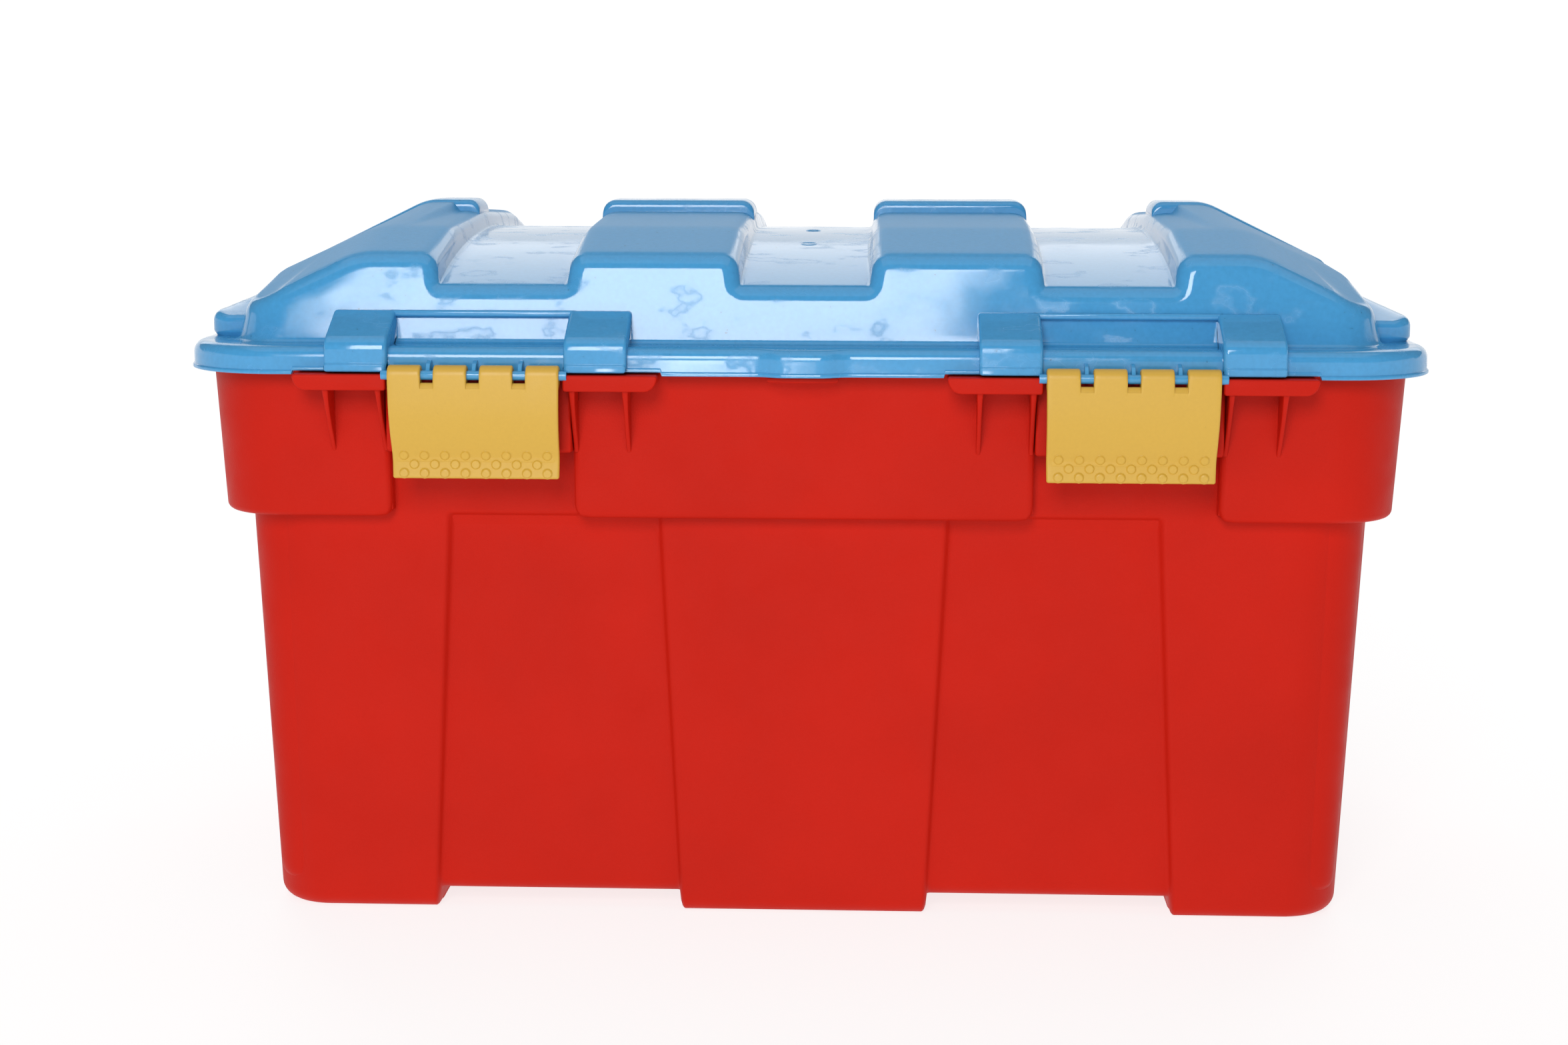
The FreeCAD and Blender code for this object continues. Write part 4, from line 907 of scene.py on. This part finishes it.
def blue_plastic(name):
    """Blue moulded plastic: polished, with smudges that dull the gloss and a few specks. The grain attribute
    turns it matt, with a fine mould texture, on the tops of the bands."""
    colour = tuple(bpy.context.scene.trunk_colours.lid)
    material, tree, plastic, place = shader(name, colour, 0.12)
    low, high = shades(colour, 0.94, 1.05)
    speck = shades(colour, 0.5, 0.5)[0]
    ramp(tree, noise(tree, place, 430, 3), [(0.235, speck), (0.26, low), (0.75, high)],
         plastic.inputs["Base Color"])
    attribute = tree.nodes.new("ShaderNodeAttribute")
    attribute.attribute_name = "grain"
    grain = attribute.outputs["Fac"]
    smudges = [(0.4, 0.08), (0.56, 0.13), (0.61, 0.3), (0.66, 0.15)]
    ramp(tree, noise(tree, place, 38, 9, (1, 2, 1.6)), smudges,
         mix(tree, grain, plastic.inputs["Roughness"], 0.46))
    mix(tree, grain, plastic.inputs["Specular IOR Level"], 0.15).default_value = 0.6
    bump(tree, noise(tree, place, 20, 2), plastic, 0.1, 0.001)
    texture = bump(tree, noise(tree, place, 1500, 2), plastic, 0.0, 0.0003)
    strength = tree.nodes.new("ShaderNodeMath")
    strength.operation = "MULTIPLY"
    strength.inputs[1].default_value = 0.3
    tree.links.new(grain, strength.inputs[0])
    tree.links.new(strength.outputs["Value"], texture.inputs["Strength"])
    return material


def yellow_plastic(name):
    """Yellow moulded plastic: satin, with fine grain and sparse dark specks."""
    colour = tuple(bpy.context.scene.trunk_colours.clip)
    material, tree, plastic, place = shader(name, colour, 0.4)
    low, high = shades(colour, 0.98, 1.02)
    speck = shades(colour, 0.55, 0.55)[0]
    ramp(tree, noise(tree, place, 640, 3), [(0.2, speck), (0.225, low), (0.8, high)], plastic.inputs["Base Color"])
    ramp(tree, noise(tree, place, 120, 4), [(0.3, 0.34), (0.7, 0.46)], plastic.inputs["Roughness"])
    bump(tree, noise(tree, place, 1100, 2), plastic, 0.12, 0.0003)
    return material


MATERIALS = {"tub_plastic": ("moulded_red", red_plastic), "lid_plastic": ("polished_blue", blue_plastic),
             "clip_plastic": ("satin_yellow", yellow_plastic)}


def slot_material(slot_name):
    """Material of a slot, made when it is first asked for."""
    name, make = MATERIALS[slot_name]
    return bpy.data.materials.get(name) or make(name)


# Settings

class TrunkLidSizes(bpy.types.PropertyGroup):
    """Sizes of the lid."""

    edge_round: bpy.props.FloatProperty(
        name="Edge rounding", description="Radius that rolls the wall into the top", default=0.0125, min=0.002,
        unit="LENGTH")
    band_round: bpy.props.FloatProperty(
        name="Band rounding", description="Radius along a band's sides", default=0.0095, min=0.002, unit="LENGTH")
    bump_proud: bpy.props.FloatProperty(
        name="Thumb bump", description="How far the bump stands out of the rim", default=0.005, min=0.0,
        unit="LENGTH")


class TrunkTubSizes(bpy.types.PropertyGroup):
    """Sizes of the tub."""

    panel_depth: bpy.props.FloatProperty(
        name="Panel depth", description="How far the wall panels are drawn in", default=0.004, min=0.0,
        unit="LENGTH")
    foot_round: bpy.props.FloatProperty(
        name="Foot rounding", description="Radius between the wall and the underside", default=0.008, min=0.002,
        unit="LENGTH")
    collar_round: bpy.props.FloatProperty(
        name="Collar rounding", description="Radius of the collar's edges", default=0.0034, min=0.001,
        unit="LENGTH")
    collar_corner: bpy.props.FloatProperty(
        name="Collar corner", description="Radius of the collar's lower corners beside a clip", default=0.006,
        min=0.001, unit="LENGTH")


class TrunkClipSizes(bpy.types.PropertyGroup):
    """Sizes of the clips."""

    edge_round: bpy.props.FloatProperty(
        name="Edge rounding", description="Radius of a clip's edges", default=0.0011, min=0.0003, unit="LENGTH")
    dot_size: bpy.props.FloatProperty(
        name="Dot size", description="Width of a grip dot", default=0.0052, min=0.001, unit="LENGTH")
    dot_pitch: bpy.props.FloatProperty(
        name="Dot pitch", description="Way from one grip dot to the next in a row", default=0.01, min=0.004,
        unit="LENGTH")
    dot_height: bpy.props.FloatProperty(
        name="Dot height", description="How far a grip dot stands out", default=0.00085, min=0.0001, unit="LENGTH")


class TrunkColours(bpy.types.PropertyGroup):
    """Colours of the plastics and the floor."""

    tub: bpy.props.FloatVectorProperty(
        name="Tub", description="Red of the tub", default=(0.525, 0.011, 0.003), size=3, min=0, max=1,
        subtype="COLOR")
    lid: bpy.props.FloatVectorProperty(
        name="Lid", description="Blue of the lid", default=(0.06, 0.31, 0.6), size=3, min=0, max=1,
        subtype="COLOR")
    clip: bpy.props.FloatVectorProperty(
        name="Clips", description="Yellow of the clips", default=(0.61, 0.365, 0.044), size=3, min=0, max=1,
        subtype="COLOR")
    floor: bpy.props.FloatVectorProperty(
        name="Floor", description="Pale floor", default=(0.24, 0.24, 0.24), size=3, min=0, max=1, subtype="COLOR")


# Operators

class TrunkLidShell(bpy.types.Operator):
    """Build the lid's shell and its inside"""

    bl_idname = "trunk.lid_shell"
    bl_label = "Lid shell"

    def execute(self, context):
        size = context.scene.trunk_lid
        edge, band = size.edge_round / MM, size.band_round / MM
        front = lid_quarter(edge, band, size.bump_proud / MM, RIM_NOTCH_RISE)
        ring = mirrored(front, lid_quarter(edge, band, 0.0, 0.0))
        shell = piece("lid_shell", [patch(ring, loop_columns=True)], "lid", welded=True)
        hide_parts("lid")
        normals = grid_normals(ring)
        values = shell.data.attributes.new("grain", "FLOAT", "POINT")
        values.data.foreach_set("value", top_grain(ring, normals).ravel())
        inner = ring - LID_WALL * normals
        inner[:, 0] = ring[:, 0]
        rows = np.r_[0, 6:9, 10:ring.shape[1]]
        piece("lid_lining", [patch(inner[:, rows], loop_columns=True, inside=True)], "lid", welded=True)
        piece("gate_marks", [patch(gate_mark(place), loop_columns=True) for place in GATE_MARKS], "lid")
        return {"FINISHED"}


class TrunkSpine(bpy.types.Operator):
    """Build the spine along the lid's crest and the raised ends of the slopes"""

    bl_idname = "trunk.spine"
    bl_label = "Spine and ends"

    def execute(self, context):
        cap = spine_run(*SPINE_CAP, *SPINE_CAP_ROUND)
        bar = spine_run(*SPINE_BAR, *SPINE_BAR_ROUND)
        for side, name in ((1, "right"), (-1, "left")):
            turned = (side, side, 1)
            piece(f"spine_cap_{name}", [patch(cap * turned, loop_rows=True, capped=True)], "lid")
            piece(f"spine_end_{name}", [patch(bar * turned, loop_rows=True, capped=True)], "lid")
            piece(f"end_boss_{name}", [patch(end_boss() * turned)], "lid")
        return {"FINISHED"}


class TrunkLatchFrames(bpy.types.Operator):
    """Build the lid's latch frames: two ramp posts and a header each"""

    bl_idname = "trunk.latch_frames"
    bl_label = "Latch frames"

    def execute(self, context):
        outline = post_outline()
        root, low_face, high_face = HEADER_Y
        low = POST_TOP - HEADER_HEIGHT
        header = corner_arcs([(root, low), (low_face, low), (high_face, POST_TOP), (root, POST_TOP)],
                             (0.5, 1.0, 1.2, 0.5))
        right = slab(outline, POST_INNER, POST_OUTER, *POST_ROUND, ALONG_X)
        left = slab(outline, -POST_OUTER, -POST_INNER, *POST_ROUND[::-1], ALONG_X)
        bar = slab(header, -POST_INNER - 3, POST_INNER + 3, 0.3, 0.3, ALONG_X)
        at_clips("latch_frame", (right, left, bar), "lid")
        return {"FINISHED"}


class TrunkLatchBars(bpy.types.Operator):
    """Build the bars that the clips turn on, and the webs that join them to the rim"""

    bl_idname = "trunk.latch_bars"
    bl_label = "Latch bars"

    def execute(self, context):
        angle = np.linspace(0, 2 * np.pi, 33)[:-1]
        circle = np.stack([BAR_Y + BAR_RADIUS * np.cos(angle), BAR_Z + BAR_RADIUS * np.sin(angle)], 1)
        bar = slab(circle, -POST_INNER - 2, POST_INNER + 2, 0.1, 0.1, ALONG_X)
        web = corner_arcs([(-204, 280.0), (-209.6, 280.0), (-212.4, 282.4), (-209.5, 286.5), (-204, 288)], 0.6)
        pitch = (2 * CLIP_HALF + SLOT_WIDTH) / 4
        webs = [slab(web, x - 1.0, x + 1.0, 0.3, 0.3, ALONG_X) for x in (-pitch, 0.0, pitch)]
        at_clips("latch_bar", [bar] + webs, "lid")
        return {"FINISHED"}


class TrunkTubBody(bpy.types.Operator):
    """Build the tub's walls, feet and collar"""

    bl_idname = "trunk.tub_body"
    bl_label = "Tub"

    def execute(self, context):
        size = context.scene.trunk_tub
        depth, collar = size.panel_depth / MM, size.collar_round / MM
        body = piece("tub_body", [patch(tub_body_grid(depth, size.foot_round / MM), loop_columns=True)], "tub",
                     welded=True)
        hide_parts("tub")
        ring = collar_grid(collar, size.collar_corner / MM)
        piece("tub_collar", [patch(ring, loop_columns=True)], "tub")
        inside = patch(lining_grid(collar, depth), loop_columns=True)
        piece("tub_lining", [inside], "tub", welded=True)
        near, far = FOOT_PAD_Y
        pads = [corner_arcs([(low, near), (high, near), (high, far), (low, far)], 6.0) for low, high in FOOT_PADS]
        pads = [slab(pad * (1, side), 0.05, FOOT_HEIGHT + 1, 2.0, 0.3, ALONG_Z)
                for pad in pads for side in (-1, 1)]
        piece("foot_pads", pads, "tub")
        return {"FINISHED"}


class TrunkSeats(bpy.types.Operator):
    """Build the clip seats, the shelves beside them and their gussets"""

    bl_idname = "trunk.seats"
    bl_label = "Seats and shelves"

    def execute(self, context):
        low, high = SEAT_Z
        side = corner_arcs([(SEAT_ROOT, low - 1), (SEAT_FACE + 0.8, low), (SEAT_FACE, high), (SEAT_ROOT, high)],
                           (0.5, 2.5, 1.5, 0.5))
        seat = slab(side, -GAP_HALF - 0.1, GAP_HALF + 0.1, 1.5, 1.5, ALONG_X)
        inner, outer = SHELF
        bottom, top = SHELF_Z
        front = corner_arcs([(inner, bottom), (outer - 2, bottom), (outer, top), (inner, top)],
                            (1.3, 6.5, 1.3, 1.3), steps=10)
        shelves = [slab(front * (sign, 1), SHELF_FRONT, SHELF_ROOT, 1.0, 0.3, ALONG_Y) for sign in (1, -1)]
        fins = [patch(gusset(sign * x)) for x in GUSSETS for sign in (1, -1)]
        for name, centre, back in SIDES:
            parts = [seat] if back else [seat] + shelves + fins
            piece(f"seat_{name}", [placed(part, centre, back) for part in parts], "tub")
        x = np.linspace(-LEDGE_HALF, LEDGE_HALF, 25)
        edge = np.stack([x, LEDGE_FRONT + LEDGE_BOW * (x / LEDGE_HALF) ** 2], 1)
        ledge = np.concatenate([[(-LEDGE_HALF, LEDGE_ROOT)], edge, [(LEDGE_HALF, LEDGE_ROOT)]])
        piece("thumb_ledge", [slab(ledge, *LEDGE_Z, 0.8, 0.8, ALONG_Z)], "tub")
        return {"FINISHED"}


class TrunkClips(bpy.types.Operator):
    """Build the four clips with their knuckles, hooks and grip dots"""

    bl_idname = "trunk.clips"
    bl_label = "Clips"

    def execute(self, context):
        size = context.scene.trunk_clip
        body = patch(clip_grid(size.edge_round / MM), loop_rows=True, capped=True)
        hook = corner_arcs([(-209.5, 238.2), (-198.2, 239.6), (-197.4, 241.4), (-209.5, 243.4)], 0.7)
        catch = slab(hook, -CLIP_FOOT_HALF + 2, CLIP_FOOT_HALF - 2, 0.6, 0.6, ALONG_X)
        dots = [patch(dot, loop_columns=True)
                for dot in grip_dots(size.dot_size / MM, size.dot_pitch / MM, size.dot_height / MM)]
        for name, centre, back in SIDES:
            clip = piece(f"clip_{name}", [placed(part, centre, back) for part in (body, catch)], name)
            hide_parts(name)
            piece(f"grip_dots_{name}", [placed(dot, centre, back) for dot in dots], name)
        return {"FINISHED"}


def upright(start, end, low, high):
    """Corners of an upright sheet over a line on the floor."""
    return (*start, low), (*end, low), (*end, high), (*start, high)


# Stage in metres: half the floor's width, and the glowing sheets with their strengths
FLOOR_HALF = 20
SHEETS = (
    ("backdrop", upright((-9, 3.5), (9, 3.5), 0, 1.3), 1.05),
    ("wall_left", upright((-9, -9), (-9, 3.5), 0, 2.4), 0.95),
    ("wall_right", upright((9, 3.5), (9, -9), 0, 2.4), 0.95),
    ("wall_front", upright((9, -9), (-9, -9), 0, 2.4), 0.95),
    ("back_light", upright((-2.6, 3.45), (2.6, 3.45), 1.3, 4.2), 1.7),
    ("soft_box", ((0.08, -2.6, 0.95), (-0.82, -2.6, 0.95), (-0.88, -2.6, 2.15), (0.28, -2.6, 2.15)), 10.5),
    ("low_card", upright((-0.10, -2.6), (-0.34, -2.6), 0, 0.4), 12.0),
    ("ceiling", ((-2, -1.8, 3.2), (2, -1.8, 3.2), (2, 1.2, 3.2), (-2, 1.2, 3.2)), 0.7),
)


def sheet(name, corners, glow, colour=(0.05, 0.05, 0.05), roughness=1.0):
    """Flat glowing sheet of the stage, in metres."""
    material = bpy.data.materials.new(name)
    material.use_nodes = True
    surface = material.node_tree.nodes["Principled BSDF"]
    surface.inputs["Base Color"].default_value = (*colour, 1)
    surface.inputs["Roughness"].default_value = roughness
    surface.inputs["Emission Color"].default_value = (1, 1, 1, 1)
    surface.inputs["Emission Strength"].default_value = glow
    mesh = bpy.data.meshes.new(name)
    mesh.from_pydata(corners, [], [(0, 1, 2, 3)])
    mesh.materials.append(material)
    obj = bpy.data.objects.new(name, mesh)
    bpy.context.scene.collection.objects.link(obj)
    return obj


class TrunkStage(bpy.types.Operator):
    """Build the floor, the lights and the camera"""

    bl_idname = "trunk.stage"
    bl_label = "Stage"

    def execute(self, context):
        scene = context.scene
        far = FLOOR_HALF
        ground = ((-far, -far, 0), (far, -far, 0), (far, far, 0), (-far, far, 0))
        floor = sheet("floor", ground, 0.8, scene.trunk_colours.floor, 0.8)
        world = bpy.data.worlds.new("studio")
        world.use_nodes = True
        background = world.node_tree.nodes["Background"]
        background.inputs["Color"].default_value = (1, 1, 1, 1)
        background.inputs["Strength"].default_value = 0.16
        scene.world = world
        for name, corners, glow in SHEETS:
            obj = sheet(name, corners, glow)

        yaw, pitch, roll = 0.0393, 0.161, 0.002
        forward = Vector((-np.sin(yaw) * np.cos(pitch), np.cos(yaw) * np.cos(pitch), -np.sin(pitch)))
        camera = bpy.data.cameras.new("camera")
        camera.sensor_width = 36.0
        camera.lens = 57.88
        camera.clip_end = 50
        eye = bpy.data.objects.new("camera", camera)
        eye.location = (0.0389, -1.4170, 0.4063)
        eye.rotation_euler = (forward.to_track_quat("-Z", "Y") @ Quaternion((0, 0, 1), roll)).to_euler()
        scene.collection.objects.link(eye)
        scene.camera = eye
        scene.view_settings.view_transform = "Standard"
        return {"FINISHED"}


class TrunkPanel(bpy.types.Panel):
    """Sidebar panel with the trunk's sizes and steps"""

    bl_idname = "VIEW3D_PT_trunk"
    bl_label = "Trunk"
    bl_space_type = "VIEW_3D"
    bl_region_type = "UI"
    bl_category = "Trunk"

    def draw(self, context):
        for group in ("trunk_lid", "trunk_tub", "trunk_clip", "trunk_colours"):
            settings = getattr(context.scene, group)
            for name in settings.__annotations__:
                self.layout.prop(settings, name)
        for operator in OPERATORS:
            self.layout.operator(operator.bl_idname)


GROUPS = {"trunk_lid": TrunkLidSizes, "trunk_tub": TrunkTubSizes, "trunk_clip": TrunkClipSizes,
          "trunk_colours": TrunkColours}
OPERATORS = (TrunkLidShell, TrunkSpine, TrunkLatchFrames, TrunkLatchBars, TrunkTubBody, TrunkSeats, TrunkClips,
             TrunkStage)


def register():
    """Register the classes and hang the settings on the scene."""
    for cls in (*GROUPS.values(), *OPERATORS, TrunkPanel):
        bpy.utils.register_class(cls)
    for name, group in GROUPS.items():
        setattr(bpy.types.Scene, name, bpy.props.PointerProperty(type=group))


def unregister():
    """Take the settings and classes away again."""
    for name in GROUPS:
        delattr(bpy.types.Scene, name)
    for cls in (TrunkPanel, *reversed(OPERATORS), *GROUPS.values()):
        bpy.utils.unregister_class(cls)


def main():
    """Build the trunk and its stage."""
    register()
    bpy.ops.trunk.lid_shell()
    bpy.ops.trunk.spine()
    bpy.ops.trunk.latch_frames()
    bpy.ops.trunk.latch_bars()
    bpy.ops.trunk.tub_body()
    bpy.ops.trunk.seats()
    bpy.ops.trunk.clips()
    bpy.ops.trunk.stage()


if __name__ == "__main__":
    main()
